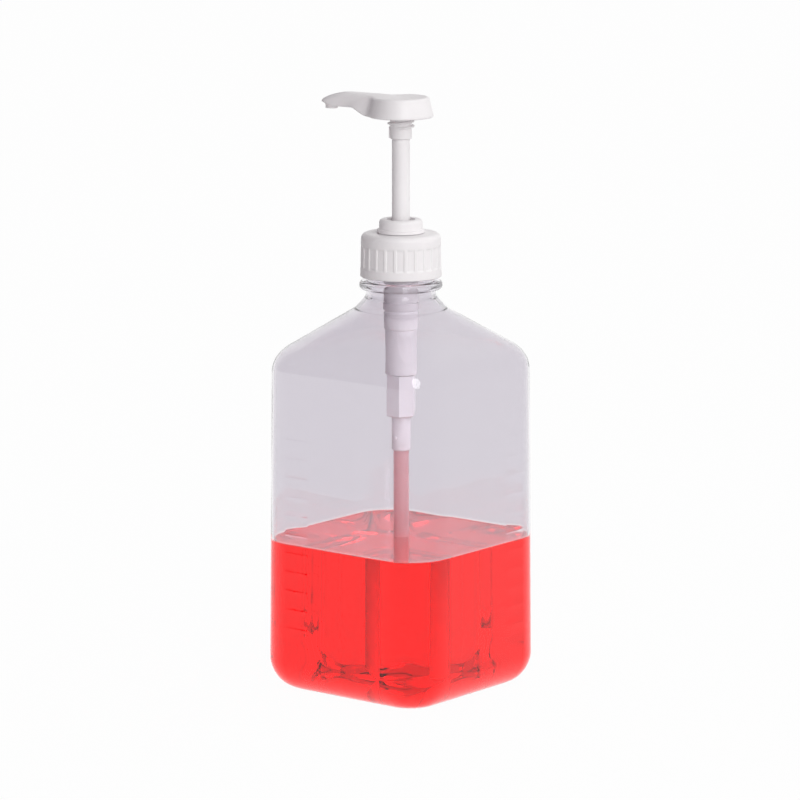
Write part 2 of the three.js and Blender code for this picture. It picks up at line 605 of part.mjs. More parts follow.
// Cap: a cup, open below, with a hole in its top for the cylinder's hub and panels for grip outside.
function screwCap() {
  const upper = CAP_RADIUS - CAP_DRAFT;
  const hole = HUB_RADIUS + RUN_GAP;
  const cup = turned([
    [CAP_INNER_RADIUS, CAP_Z],
    [CAP_RADIUS, CAP_Z, CAP_EDGE_ROUND, 1],
    [upper, CAP_TOP_Z, CAP_ROUND],
    [hole, CAP_TOP_Z],
    [hole, CAP_UNDER_Z],
    [CAP_INNER_RADIUS, CAP_UNDER_Z],
  ], FINE_SIDES, true);
  const thread = ridge(CAP_INNER_RADIUS, -CAP_THREAD, FINISH_THREAD_WIDTH, FINISH_THREAD_Z + FINISH_PITCH / 2,
    FINISH_PITCH, FINISH_TURNS);
  return cut(joined(cup, thread), capPanels());
}

// The grip panels: a band sunk into the cap's side, less the ribs that stay between them.
function capPanels() {
  const low = CAP_Z + CAP_GRIP_Z;
  const high = low + CAP_GRIP_BAND;
  const lowRadius = CAP_RADIUS - CAP_DRAFT * CAP_GRIP_Z / CAP_HEIGHT - CAP_GRIP_DEPTH;
  const highRadius = lowRadius - CAP_DRAFT * CAP_GRIP_BAND / CAP_HEIGHT;
  const outer = CAP_RADIUS + CUT_OVERRUN;
  const band = turned([[lowRadius, low], [outer, low], [outer, high], [highRadius, high]], FINE_SIDES, true);
  const ribs = around(CAP_RIB_COUNT, (angle) => (
    new THREE.BoxGeometry(outer, CAP_RIB_WIDTH, CAP_HEIGHT)
      .translate(outer, 0, (low + high) / 2)
      .rotateZ(angle)
  ));
  return cut(band, ...ribs);
}

// Lock collar: a ring over the cap that the head's thread screws into when the pump is locked down.
function lockCollar() {
  const top = COLLAR_Z + COLLAR_HEIGHT;
  const body = turned([
    [HUB_RADIUS + SEAT_GAP, COLLAR_Z],
    [COLLAR_FLANGE_RADIUS, COLLAR_Z],
    [COLLAR_FLANGE_RADIUS, COLLAR_Z + COLLAR_FLANGE, COLLAR_FLANGE_ROUND, 1],
    [COLLAR_RADIUS, COLLAR_Z + COLLAR_FLANGE],
    [COLLAR_RADIUS, top, COLLAR_ROUND],
    [COLLAR_BORE, top],
    [COLLAR_BORE, COLLAR_LEDGE_Z],
    [HUB_RADIUS + SEAT_GAP, COLLAR_LEDGE_Z],
  ], SIDES, true);
  const low = top - COLLAR_THREAD_DROP - BOSS_THREAD_WIDTH - BOSS_PITCH;
  const thread = ridge(COLLAR_BORE, -COLLAR_THREAD, BOSS_THREAD_WIDTH, low, BOSS_PITCH, 1);
  return joined(body, thread);
}

// Cylinder: flange and hub above, a plain bore for the piston, and bands and steps outside.
function pumpCylinder() {
  const bandLow = BAND_Z - BAND_WIDTH / 2;
  const bandHigh = BAND_Z + BAND_WIDTH / 2;
  const groove = CYLINDER_RADIUS - GROOVE_DEPTH;
  const hubBore = STEM_RADIUS + RUN_GAP + GUIDE_WIDTH + SEAT_GAP;
  const barrel = turned([
    [CYLINDER_BORE, CYLINDER_END_Z],
    [CYLINDER_LOWER_RADIUS, CYLINDER_END_Z],
    [CYLINDER_LOWER_RADIUS, CYLINDER_STEP_Z - CYLINDER_STEP],
    [CYLINDER_RADIUS, CYLINDER_STEP_Z],
    [CYLINDER_RADIUS, bandLow - GROOVE_WIDTH],
    [groove, bandLow - GROOVE_WIDTH],
    [groove, bandLow],
    [CYLINDER_RADIUS + BAND_RISE, bandLow],
    [CYLINDER_RADIUS + BAND_RISE, bandHigh],
    [groove, bandHigh],
    [groove, bandHigh + GROOVE_WIDTH],
    [CYLINDER_RADIUS, bandHigh + GROOVE_WIDTH],
    [CYLINDER_RADIUS, FLANGE_Z],
    [FLANGE_RADIUS, FLANGE_Z],
    [FLANGE_RADIUS, FLANGE_Z + FLANGE_THICKNESS],
    [HUB_RADIUS, FLANGE_Z + FLANGE_THICKNESS],
    [HUB_RADIUS, HUB_TOP_Z],
    [hubBore, HUB_TOP_Z],
    [hubBore, GUIDE_LEDGE_Z],
    [CYLINDER_BORE, GUIDE_LEDGE_Z],
  ], SIDES, true);
  const reach = CYLINDER_RADIUS + CUT_OVERRUN;
  const vent = new THREE.CylinderGeometry(VENT_RADIUS, VENT_RADIUS, reach, HOLE_SIDES)
    .translate(0, -reach / 2, VENT_Z);
  return cut(barrel, vent);
}

// Valve body: a hexagonal bar with a spigot for the cylinder, a bore for the spring, a chamber and a conical
// seat for the ball, and a socket for the tube fitting.
function valveBody() {
  const spigot = CYLINDER_BORE - SEAT_GAP;
  const shoulder = CYLINDER_END_Z - SEAT_GAP;
  const ringZ = VALVE_SPIGOT_Z - VALVE_RING_DROP;
  const grooveHalf = VALVE_RING_WIRE + SEAT_GAP;
  const groove = spigot - 2 * VALVE_RING_WIRE;
  const ledge = CAGE_Z - SEAT_GAP;
  const socket = FITTING_SPIGOT_RADIUS + SEAT_GAP;
  const socketTop = VALVE_END_Z + FITTING_SPIGOT + SEAT_GAP;
  const hexagon = turned([
    [0, VALVE_END_Z],
    [VALVE_RADIUS - VALVE_CHAMFER, VALVE_END_Z],
    [VALVE_RADIUS, VALVE_END_Z + VALVE_CHAMFER],
    [VALVE_RADIUS, shoulder],
    [0, shoulder],
  ], VALVE_SIDES).rotateZ(Math.PI / VALVE_SIDES);
  const plug = turned([
    [0, shoulder - CUT_OVERRUN],
    [spigot, shoulder - CUT_OVERRUN],
    [spigot, ringZ - grooveHalf],
    [groove, ringZ - grooveHalf],
    [groove, ringZ + grooveHalf],
    [spigot, ringZ + grooveHalf],
    [spigot, VALVE_SPIGOT_Z],
    [0, VALVE_SPIGOT_Z],
  ], SIDES);
  const hollow = turned([
    [0, VALVE_END_Z - CUT_OVERRUN],
    [socket, VALVE_END_Z - CUT_OVERRUN],
    [socket, socketTop],
    [SEAT_RADIUS, socketTop],
    [SEAT_RADIUS, SEAT_Z],
    [INLET_CHAMBER, SEAT_Z + INLET_CHAMBER - SEAT_RADIUS],
    [INLET_CHAMBER, ledge],
    [VALVE_BORE, ledge],
    [VALVE_BORE, VALVE_SPIGOT_Z + CUT_OVERRUN],
    [0, VALVE_SPIGOT_Z + CUT_OVERRUN],
  ], SIDES);
  return cut(joined(hexagon, plug), hollow);
}

// Seal ring in the groove of the valve body's spigot.
function valveRing() {
  const middle = CYLINDER_BORE - RUN_GAP / 2 - VALVE_RING_WIRE;
  return welded(new THREE.TorusGeometry(middle, VALVE_RING_WIRE, WIRE_SIDES, SIDES)
    .translate(0, 0, VALVE_SPIGOT_Z - VALVE_RING_DROP));
}

// Cage over the inlet ball: a disc with holes for the syrup. The spring stands on its rim.
function ballCage() {
  const disc = bar(VALVE_BORE - SEAT_GAP, CAGE_Z, CAGE_Z + CAGE_THICKNESS, SIDES);
  const holes = around(CAGE_HOLE_COUNT, (angle) => (
    bar(CAGE_HOLE, CAGE_Z - CUT_OVERRUN, CAGE_Z + CAGE_THICKNESS + CUT_OVERRUN, HOLE_SIDES)
      .translate(CAGE_HOLE_CIRCLE, 0, 0)
      .rotateZ(angle)
  ));
  return cut(disc, ...holes);
}

function ball(radius, z) {
  return welded(new THREE.SphereGeometry(radius, SMALL_SIDES, SMALL_SIDES / 2).translate(0, 0, z));
}

// Fitting between the valve body and the dip tube, with a small moulded pip on its side.
function tubeFitting() {
  const shoulder = VALVE_END_Z - SEAT_GAP;
  const socket = TUBE_RADIUS + SEAT_GAP;
  const socketTop = FITTING_END_Z + FITTING_SOCKET;
  const body = turned([
    [socket, FITTING_END_Z],
    [FITTING_RADIUS, FITTING_END_Z],
    [FITTING_RADIUS, shoulder],
    [FITTING_SPIGOT_RADIUS, shoulder],
    [FITTING_SPIGOT_RADIUS, VALVE_END_Z + FITTING_SPIGOT],
    [SEAT_RADIUS, VALVE_END_Z + FITTING_SPIGOT],
    [SEAT_RADIUS, socketTop],
    [socket, socketTop],
  ], SIDES, true);
  const pip = new THREE.CylinderGeometry(PIP_RADIUS, PIP_RADIUS, PIP_RISE, HOLE_SIDES)
    .translate(0, PIP_RISE * JOIN_SINK_SHARE - PIP_RISE / 2 - FITTING_RADIUS, FITTING_END_Z + PIP_UP);
  return joined(body, pip);
}

// Dip tube, cut at a slant at its foot so that the bottle's floor can't close it.
function dipTube() {
  const slant = THREE.MathUtils.degToRad(TUBE_CUT_ANGLE);
  const tube = sleeve(TUBE_RADIUS - TUBE_WALL, TUBE_RADIUS, TUBE_Z, TUBE_TOP_Z, SMALL_SIDES);
  const block = TUBE_TOP_Z - TUBE_Z;
  const knife = new THREE.BoxGeometry(block, block, block)
    .translate(0, 0, -block / 2)
    .rotateY(slant)
    .translate(0, 0, TUBE_Z + TUBE_RADIUS * Math.tan(slant));
  return cut(tube, knife);
}

// The syrup that stands in the dip tube, up to the inlet valve's seat.
function syrupColumn() {
  const low = TUBE_Z + 2 * TUBE_RADIUS * Math.tan(THREE.MathUtils.degToRad(TUBE_CUT_ANGLE));
  return bar(TUBE_RADIUS - TUBE_WALL - SEAT_GAP, low, TUBE_TOP_Z - SEAT_GAP, SMALL_SIDES);
}

// Piston: three lands with two grooves for the seals, a bore for the spring and a socket for the stem.
function pistonCore() {
  const cupLow = PISTON_Z + PISTON_LAND;
  const cupHigh = cupLow + CUP_WIDTH + 2 * SEAT_GAP;
  const ringLow = cupHigh + PISTON_LAND;
  const ringHigh = ringLow + RING_WIDTH + 2 * SEAT_GAP;
  const socket = STEM_RADIUS + RUN_GAP;
  const web = SOCKET_Z - PISTON_WEB;
  return turned([
    [PISTON_BORE, PISTON_Z],
    [PISTON_RADIUS, PISTON_Z],
    [PISTON_RADIUS, cupLow],
    [PISTON_NECK, cupLow],
    [PISTON_NECK, cupHigh],
    [PISTON_RADIUS, cupHigh],
    [PISTON_RADIUS, ringLow],
    [PISTON_NECK, ringLow],
    [PISTON_NECK, ringHigh],
    [PISTON_RADIUS, ringHigh],
    [PISTON_RADIUS, PISTON_TOP_Z],
    [socket, PISTON_TOP_Z],
    [socket, SOCKET_Z],
    [OUTLET_SEAT_RADIUS, SOCKET_Z],
    [OUTLET_SEAT_RADIUS, web],
    [PISTON_BORE, web],
  ], SIDES, true);
}

// Cup seal in the piston's lower groove, with a notch between its two lips.
function pistonCup() {
  const low = PISTON_Z + PISTON_LAND + SEAT_GAP;
  const inner = PISTON_NECK + SEAT_GAP;
  const lip = (PISTON_RADIUS - inner) * CUP_LIP_SHARE;
  return turned([
    [inner, low],
    [inner + lip, low],
    [(inner + PISTON_RADIUS) / 2, low + CUP_WIDTH * CUP_NOTCH_SHARE],
    [PISTON_RADIUS - lip, low],
    [PISTON_RADIUS, low],
    [PISTON_RADIUS, low + CUP_WIDTH],
    [inner, low + CUP_WIDTH],
  ], SIDES, true);
}

function pistonRing() {
  const low = PISTON_Z + 2 * PISTON_LAND + CUP_WIDTH + 3 * SEAT_GAP;
  return sleeve(PISTON_NECK + SEAT_GAP, PISTON_RADIUS, low, low + RING_WIDTH, SIDES);
}

function returnSpring() {
  const section = Array.from({ length: WIRE_SIDES }, (_, i) => {
    const angle = -2 * Math.PI * i / WIRE_SIDES;
    return [SPRING_WIRE * Math.cos(angle), SPRING_WIRE * Math.sin(angle)];
  });
  const low = SPRING_Z + SPRING_WIRE;
  const pitch = (SPRING_TOP_Z - SPRING_Z - 2 * SPRING_WIRE) / SPRING_TURNS;
  return helix(SPRING_RADIUS, low, pitch, SPRING_TURNS, section, SPRING_STEPS);
}

// Seat of the outlet valve: a washer with a conical mouth, under the stem's end.
function outletSeat() {
  const top = OUTLET_SEAT_Z + OUTLET_SEAT_THICKNESS;
  return turned([
    [OUTLET_SEAT_RADIUS, OUTLET_SEAT_Z],
    [STEM_RADIUS, OUTLET_SEAT_Z],
    [STEM_RADIUS, top],
    [OUTLET_SEAT_RADIUS, top],
  ], SMALL_SIDES, true);
}

// Stem: a tube whose wider lower end is the outlet ball's chamber.
function stem() {
  return turned([
    [OUTLET_CHAMBER, STEM_Z],
    [STEM_RADIUS, STEM_Z],
    [STEM_RADIUS, STEM_TOP_Z],
    [STEM_BORE, STEM_TOP_Z],
    [STEM_BORE, OUTLET_STOP_Z],
    [OUTLET_CHAMBER, OUTLET_STOP_Z],
  ], SIDES, true);
}

function stemGuide() {
  const inner = STEM_RADIUS + RUN_GAP;
  return sleeve(inner, inner + GUIDE_WIDTH, GUIDE_Z, GUIDE_Z + GUIDE_THICKNESS, SIDES);
}

// Wiper: a soft ring that thins to a lip at the stem.
function stemWiper() {
  const inner = STEM_RADIUS + RUN_GAP;
  const lip = WIPER_Z + WIPER_THICKNESS * (1 - WIPER_LIP_SHARE);
  return turned([
    [inner, lip],
    [inner + WIPER_THICKNESS, WIPER_Z],
    [inner + GUIDE_WIDTH, WIPER_Z],
    [inner + GUIDE_WIDTH, WIPER_Z + WIPER_THICKNESS],
    [inner, WIPER_Z + WIPER_THICKNESS],
  ], SIDES, true);
}

// Distance outwards from the outline of pad and spout, seen from above. The spout runs along +X, and a
// hollow blends it into the pad.
function outlineDistance(x, y) {
  const pad = Math.hypot(x, y) - PAD_RADIUS;
  const length = SPOUT_REACH - SPOUT_TIP_HALF_WIDTH;
  const t = THREE.MathUtils.clamp(x / length, 0, 1);
  const spout = Math.hypot(x - t * length, y) - mix(SPOUT_ROOT_HALF_WIDTH, SPOUT_TIP_HALF_WIDTH, t);
  const near = Math.max(SPOUT_BLEND - Math.abs(pad - spout), 0);
  return Math.min(pad, spout) - near ** 2 / (4 * SPOUT_BLEND);
}

// Reach of the outline from the axis, at an angle, where outlineDistance equals level.
function outlineReach(angle, level) {
  let inside = 0;
  let outside = 2 * SPOUT_REACH;
  for (let i = 0; i < BISECTIONS; i += 1) {
    const middle = (inside + outside) / 2;
    if (outlineDistance(middle * Math.cos(angle), middle * Math.sin(angle)) < level) inside = middle;
    else outside = middle;
  }
  return inside;
}

// Height of the head's top: a dished pad, flowing into a spout that rises to a hump and falls to its tip.
function headTop(x, y) {
  const spread = Math.min(Math.hypot(x, y) / PAD_RADIUS, 1);
  const pad = PAD_TOP_Z - PAD_DISH * (1 - spread ** 2);
  const run = x > SPOUT_HUMP_X ? SPOUT_REACH - SPOUT_HUMP_X : SPOUT_HUMP_X - PAD_RADIUS;
  const fall = x > SPOUT_HUMP_X ? SPOUT_DROP : SPOUT_SADDLE;
  const crown = SPOUT_CROWN * (y / SPOUT_ROOT_HALF_WIDTH) ** 2;
  const spout = SPOUT_TOP_Z - fall * ((x - SPOUT_HUMP_X) / run) ** 2 - crown;
  const [flowStart, flowEnd] = SPOUT_FLOW_SHARES;
  return mix(pad, spout, smoothstep(flowStart * PAD_RADIUS, flowEnd * PAD_RADIUS, x));
}

function headUnder(x) {
  return mix(PAD_Z, SPOUT_UNDER_Z, smoothstep(SPOUT_UNDER_START, SPOUT_UNDER_END, x));
}

// Pad and spout in one, still without hollow, boss and channel. Its rings run from the middle of the
// underside out to the skirt, up the side, round the rim and in over the top. Their points lie closest
// together at the spout's tip. At each point, round is the rim's rounding and flare is how far the skirt
// stands out under it.
function headBody() {
  const angles = Array.from({ length: HEAD_SIDES }, (_, i) => {
    const u = 2 * (i + 1) / HEAD_SIDES - 1;
    return Math.PI * Math.sign(u) * u ** 2;
  });
  const ring = (level, share, fall, heightAt) => angles.map((angle) => {
    const edgeX = outlineReach(angle, 0) * Math.cos(angle);
    const onSpout = smoothstep(PAD_RADIUS, SPOUT_HUMP_X, edgeX);
    const { offset, sink } = level({
      round: mix(PAD_ROUND, SPOUT_ROUND, onSpout),
      flare: PAD_FLARE * (1 - onSpout),
    });
    const reach = outlineReach(angle, offset) * share;
    const atTip = smoothstep(SLANT_START_SHARE * SPOUT_REACH, SPOUT_REACH, reach * Math.cos(angle));
    const x = reach * Math.cos(angle) - SPOUT_SLANT * fall * atTip;
    const y = reach * Math.sin(angle);
    return [x, y, heightAt(x, y) + sink];
  });
  const skirt = PAD_SKIRT_ROUND;
  const under = (angle) => ({ flare }) => ({
    offset: flare - skirt * (1 - Math.sin(angle)),
    sink: skirt * (1 - Math.cos(angle)),
  });
  const rim = (angle) => ({ round }) => ({
    offset: -round * (1 - Math.cos(angle)),
    sink: -round * (1 - Math.sin(angle)),
  });
  const arc = [0, Math.PI / 4, Math.PI / 2];
  const rings = [
    ...HEAD_UNDER_SHARES.toReversed().map((share) => ring(under(0), share, 1, headUnder)),
    ...arc.map((angle) => ring(under(angle), 1, 1, headUnder)),
    ...arc.map((angle) => ring(rim(angle), 1, 0, headTop)),
    ...HEAD_TOP_SHARES.toReversed().map((share) => ring(rim(Math.PI / 2), share, 0, headTop)),
  ];
  return stacked(rings, [0, 0, PAD_Z], [0, 0, headTop(0, 0)]);
}

// Head: the pad is hollow below, with ribs, round a boss that holds the stem and carries the lock thread.
function pumpHead() {
  const skirt = PAD_RADIUS + PAD_FLARE - PAD_WALL;
  const roof = skirt - PAD_FLARE * (PAD_ROOF_Z - PAD_Z) / (PAD_TOP_Z - PAD_Z);
  const low = PAD_Z - CUT_OVERRUN;
  const space = turned([[0, low], [skirt, low], [roof, PAD_ROOF_Z], [0, PAD_ROOF_Z]], SIDES);
  const ribs = around(PAD_RIB_COUNT, (angle) => {
    const height = (PAD_ROOF_Z - PAD_Z) * PAD_RIB_SHARE + CUT_OVERRUN;
    return new THREE.BoxGeometry(skirt + CUT_OVERRUN, PAD_RIB, height)
      .translate((skirt + CUT_OVERRUN) / 2, 0, PAD_ROOF_Z + CUT_OVERRUN - height / 2)
      .rotateZ(angle + Math.PI / PAD_RIB_COUNT);
  });
  const shell = cut(headBody(), cut(space, ...ribs));
  const boss = bar(BOSS_RADIUS, BOSS_END_Z, PAD_ROOF_Z + CUT_OVERRUN, SIDES);
  const thread = ridge(BOSS_RADIUS, BOSS_THREAD, BOSS_THREAD_WIDTH, BOSS_THREAD_Z, BOSS_PITCH, BOSS_TURNS);
  const nozzleEnd = SPOUT_UNDER_Z - NOZZLE_DROP;
  const channelEnd = CHANNEL_Z - CHANNEL_FALL;
  const nozzle = bar(NOZZLE_RADIUS, nozzleEnd, channelEnd, SMALL_SIDES)
    .translate(NOZZLE_X, 0, 0);
  const socket = bar(STEM_RADIUS + SEAT_GAP, BOSS_END_Z - CUT_OVERRUN, BOSS_SOCKET_Z, SIDES);
  const riser = bar(CHANNEL_RADIUS, BOSS_SOCKET_Z - CUT_OVERRUN, CHANNEL_Z, SMALL_SIDES);
  const outlet = bar(NOZZLE_BORE, nozzleEnd - CUT_OVERRUN, channelEnd, SMALL_SIDES)
    .translate(NOZZLE_X, 0, 0);
  const channel = bar(CHANNEL_RADIUS, 0, Math.hypot(NOZZLE_X, CHANNEL_FALL), SMALL_SIDES)
    .rotateY(Math.atan2(NOZZLE_X, -CHANNEL_FALL))
    .translate(0, 0, CHANNEL_Z);
  return cut(joined(shell, boss, thread, nozzle), socket, riser, channel, outlet);
}

// A mesh with a material of its own. Clear pieces have an opacity under 1.
function piece(name, geometry, color, roughness, opacity = 1, metalness = 0) {
  geometry.computeVertexNormals();
  const material = new THREE.MeshStandardMaterial({
    color, roughness, metalness, opacity, transparent: opacity < 1,
  });
  const mesh = new THREE.Mesh(geometry, material);
  mesh.name = name;
  return mesh;
}

const WHITE = 0xf1eff0;
const SEAL_WHITE = 0xe4e4e2;
const CLEAR = 0xccc6d0;
const STEEL = 0xc4c6ca;
const SYRUP_RED = 0xf5281f;

const bottle = new THREE.Group();
bottle.add(
  piece('bottle_shell', bottleShell(), CLEAR, 0.08, 0.3),
  piece('syrup', syrup(), SYRUP_RED, 0.05, 0.85),
);

const pump = new THREE.Group();
pump.add(
  piece('screw_cap', screwCap(), WHITE, 0.42),
  piece('lock_collar', lockCollar(), WHITE, 0.4),
  piece('neck_gasket', sleeve(MOUTH_RADIUS, FLANGE_RADIUS, GASKET_Z, GASKET_Z + GASKET_THICKNESS, FINE_SIDES),
    SEAL_WHITE, 0.6),
  piece('pump_cylinder', pumpCylinder(), WHITE, 0.4),
  piece('stem_guide', stemGuide(), WHITE, 0.4),
  piece('stem_wiper', stemWiper(), SEAL_WHITE, 0.6),
  piece('valve_body', valveBody(), WHITE, 0.4),
  piece('valve_seal_ring', valveRing(), SEAL_WHITE, 0.6),
  piece('inlet_ball_cage', ballCage(), WHITE, 0.4),
  piece('inlet_ball', ball(INLET_BALL_RADIUS, INLET_BALL_Z), STEEL, 0.15, 1, 1),
  piece('tube_fitting', tubeFitting(), WHITE, 0.4),
  piece('dip_tube', dipTube(), 0xece6e8, 0.3, 0.6),
  piece('syrup_in_dip_tube', syrupColumn(), SYRUP_RED, 0.05, 0.85),
);

const plunger = new THREE.Group();
plunger.add(
  piece('piston_core', pistonCore(), WHITE, 0.4),
  piece('piston_cup_seal', pistonCup(), SEAL_WHITE, 0.6),
  piece('piston_guide_ring', pistonRing(), WHITE, 0.4),
  piece('outlet_valve_seat', outletSeat(), SEAL_WHITE, 0.6),
  piece('outlet_ball', ball(OUTLET_BALL_RADIUS, OUTLET_BALL_Z), STEEL, 0.15, 1, 1),
  piece('return_spring', returnSpring(), STEEL, 0.25, 1, 1),
);

const head = new THREE.Group();
head.rotation.z = THREE.MathUtils.degToRad(HEAD_TURN);
head.add(
  piece('stem', stem(), WHITE, 0.4),
  piece('pump_head', pumpHead(), WHITE, 0.42),
);

const assembly = new THREE.Group();
assembly.add(bottle, pump, plunger, head);

export default assembly;
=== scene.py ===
"""Looks of the syrup pump bottle: a clear blown bottle, red syrup, and a white moulded hand pump.

Metres, +Z up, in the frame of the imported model. Sizes are written in millimetres times MM. What the
frame can tell is taken from its nodes' boxes, and the rest are the sizes of the pieces' own forms.
Every piece is a surface worked out with numpy: a profile turned round the Z axis, a profile carried
round the bottle's or the head's outline, or a section carried along a path.
"""

import json
import math

import bpy
import numpy as np
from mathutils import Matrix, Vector


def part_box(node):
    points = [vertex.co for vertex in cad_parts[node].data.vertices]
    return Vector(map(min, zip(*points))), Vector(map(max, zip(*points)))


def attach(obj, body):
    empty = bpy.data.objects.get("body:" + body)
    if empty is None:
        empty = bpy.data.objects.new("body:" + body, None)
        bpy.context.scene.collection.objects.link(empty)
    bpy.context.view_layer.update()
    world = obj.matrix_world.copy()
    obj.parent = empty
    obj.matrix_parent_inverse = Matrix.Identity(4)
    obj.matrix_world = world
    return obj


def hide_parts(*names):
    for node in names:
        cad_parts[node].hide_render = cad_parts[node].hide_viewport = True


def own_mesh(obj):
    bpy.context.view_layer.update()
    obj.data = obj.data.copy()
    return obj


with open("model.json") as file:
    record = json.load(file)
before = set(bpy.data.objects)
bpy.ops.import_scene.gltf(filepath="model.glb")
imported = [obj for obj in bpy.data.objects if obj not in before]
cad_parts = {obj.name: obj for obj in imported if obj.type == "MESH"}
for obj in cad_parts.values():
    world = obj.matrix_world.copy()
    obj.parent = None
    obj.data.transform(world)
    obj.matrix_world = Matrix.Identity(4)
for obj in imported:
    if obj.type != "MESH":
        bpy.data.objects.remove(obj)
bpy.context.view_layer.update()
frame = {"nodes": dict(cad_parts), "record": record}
scene = bpy.context.scene
BODY_OF = {name: body for body, names in frame["record"]["behaviour"]["bodies"].items() for name in names}

MM = 0.001
TURN = 2 * math.pi
SEAT_GAP = 0.3 * MM  # between two pieces that plug into each other


def span(node):
    """A node's lowest and highest z."""
    low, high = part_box(node)
    return low.z, high.z


def reach(node):
    """Half of a node's width along X."""
    low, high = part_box(node)
    return (high.x - low.x) / 2


# Bottle
BODY_WIDTH = 110.8 * MM
BODY_DRAFT = 2.6 * MM
BODY_CORNER = 21.8 * MM
BODY_WALL = 1.2 * MM
HEEL_RADIUS = 18.0 * MM
REST_RING = 4.5 * MM
REST_ROUND = 2.6 * MM
PUSH_UP = 5.5 * MM
PUSH_UP_SLOPE = 9.0 * MM
PUSH_UP_ROUND = 5.0 * MM
SHOULDER_Z = 177.6 * MM
SHOULDER_ROUND = 17.0 * MM
NECK_FOOT_RADIUS = 24.2 * MM
NECK_FOOT_Z = 201.7 * MM
NECK_FOOT_ROUND = 8.0 * MM
NECK_RADIUS = 18.2 * MM
NECK_Z = 208.6 * MM
NECK_ROUND = 4.0 * MM
BEAD_RADIUS = 21.7 * MM
BEAD_Z = 212.1 * MM
BEAD_TOP_Z = 216.3 * MM
BEAD_ROUND = 1.7 * MM
BEAD_ROOT_ROUND = 0.6 * MM
FINISH_RADIUS = 17.3 * MM
FINISH_THREAD = 1.1 * MM
FINISH_THREAD_WIDTH = 2.2 * MM
FINISH_THREAD_Z = 222.0 * MM
FINISH_PITCH = 4.2 * MM
FINISH_TURNS = 1.6
MOUTH_RADIUS = 15.6 * MM
MOUTH_Z = span("bottle_shell")[1]
MOUTH_ROUND = 0.4 * MM
BASE_CORNER_SHARE = 0.75

TICK_LENGTH = 15.0 * MM
TICK_WIDTH = 0.9 * MM
TICK_RISE = 0.1 * MM
TICK_EDGE = 0.45 * MM
TICK_STEP = 10.0 * MM
TICK_Z = 36.0 * MM
TICK_COUNT = 11
TICK_FRONT_X = -26.0 * MM
TICK_RIGHT_Y = 26.5 * MM
FLAT_SHARE = 0.9  # of a ring's reach: a point farther out lies on a wall

# Syrup. The rings of its surface stand closest at the wall and at the dip tube.
SYRUP_Z = span("syrup")[1]
WET_SINK = 0.08 * MM
MENISCUS_RISE = 0.4 * MM
MENISCUS_REACH = 1.5 * MM
MENISCUS_TUBE_SHARE = 0.6
CLOSE_SHARES = (0.001, 0.12)
CLOSE_RINGS = 14
MIDDLE_SHARES = (0.84, 0.16)
MIDDLE_RINGS = 12
UNDER_TUBE = 0.4 * MM
COLUMN_SINK = 0.05 * MM
SURFACE_BAND = 0.5 * MM
SURFACE_NORMAL = 0.05
PAINTED_SHADE_RAMP = 2.0 * MM  # over the syrup, from no painted shade to the wall's full painted grey-lilac shade

# Cap and lock collar
CAP_Z, CAP_TOP_Z = span("screw_cap")
CAP_RADIUS = reach("screw_cap")
CAP_DRAFT = 0.5 * MM
CAP_ROUND = 3.0 * MM
CAP_EDGE_ROUND = 0.6 * MM
CAP_WALL_TOP = 2.3 * MM
CAP_INNER_RADIUS = 19.0 * MM
CAP_HOLE_RADIUS = 9.65 * MM
CAP_GRIP_Z = 4.8 * MM
CAP_GRIP_BAND = 12.0 * MM
CAP_GRIP_DEPTH = 0.4 * MM
CAP_GRIP_EDGE = 0.35 * MM
CAP_GRIP_RUN_OUT = 1.4 * MM
CAP_RIB_WIDTH = 1.2 * MM
CAP_RIB_COUNT = 24
COLLAR_Z, COLLAR_TOP_Z = span("lock_collar")
COLLAR_RADIUS = 11.3 * MM
COLLAR_ROUND = 1.8 * MM
COLLAR_ROOT_ROUND = 0.35 * MM
COLLAR_MOUTH_ROUND = 0.4 * MM
COLLAR_FLANGE_RADIUS = reach("lock_collar")
COLLAR_FLANGE = 1.7 * MM
COLLAR_FLANGE_ROUND = 0.7 * MM
COLLAR_FOOT_BORE = 9.7 * MM
COLLAR_LEDGE_Z = 243.5 * MM
COLLAR_BORE = 7.5 * MM
COLLAR_THREAD = 1.1 * MM
COLLAR_THREAD_MARGIN = 0.05 * MM

# Cylinder, valve body, fitting and dip tube
CYLINDER_Z, CYLINDER_TOP_Z = span("pump_cylinder")
CYLINDER_BORE = 7.5 * MM
CYLINDER_RADIUS = 8.9 * MM
CYLINDER_LOWER_RADIUS = 8.45 * MM
CYLINDER_STEP_Z = 190.8 * MM
CYLINDER_STEP = 0.6 * MM
BAND_Z = 203.6 * MM
BAND_WIDTH = 3.4 * MM
BAND_RISE = 0.35 * MM
GROOVE_WIDTH = 1.0 * MM
GROOVE_DEPTH = 0.5 * MM
FLANGE_Z = 237.1 * MM
FLANGE_TOP_Z = 238.7 * MM
FLANGE_RADIUS = 17.0 * MM
HUB_RADIUS = 9.4 * MM
HUB_BORE = 8.4 * MM
GUIDE_LEDGE_Z = 238.95 * MM
VALVE_Z, SPIGOT_TOP_Z = span("valve_body")
VALVE_SHOULDER_Z = CYLINDER_Z - SEAT_GAP
VALVE_CORNER = reach("valve_body")
VALVE_FLAT = VALVE_CORNER * math.cos(math.pi / 6)
VALVE_CORNER_ROUND = 0.12 * MM
VALVE_CHAMFER = 0.5 * MM
VALVE_BORE = 4.2 * MM
VALVE_MARGIN = 0.01 * MM
SPIGOT_RADIUS = 7.2 * MM
FITTING_Z = span("tube_fitting")[0]
FITTING_TOP_Z = VALVE_Z - SEAT_GAP
FITTING_RADIUS = 5.1 * MM
FITTING_EDGE_ROUND = 0.25 * MM
FITTING_SOCKET = 4.5 * MM
FITTING_BORE = 2.2 * MM
PIP_RADIUS = 0.8 * MM
PIP_RISE = 0.5 * MM
PIP_Z = 133.5 * MM
TUBE_Z, TUBE_TOP_Z = span("dip_tube")
TUBE_RADIUS = reach("dip_tube")
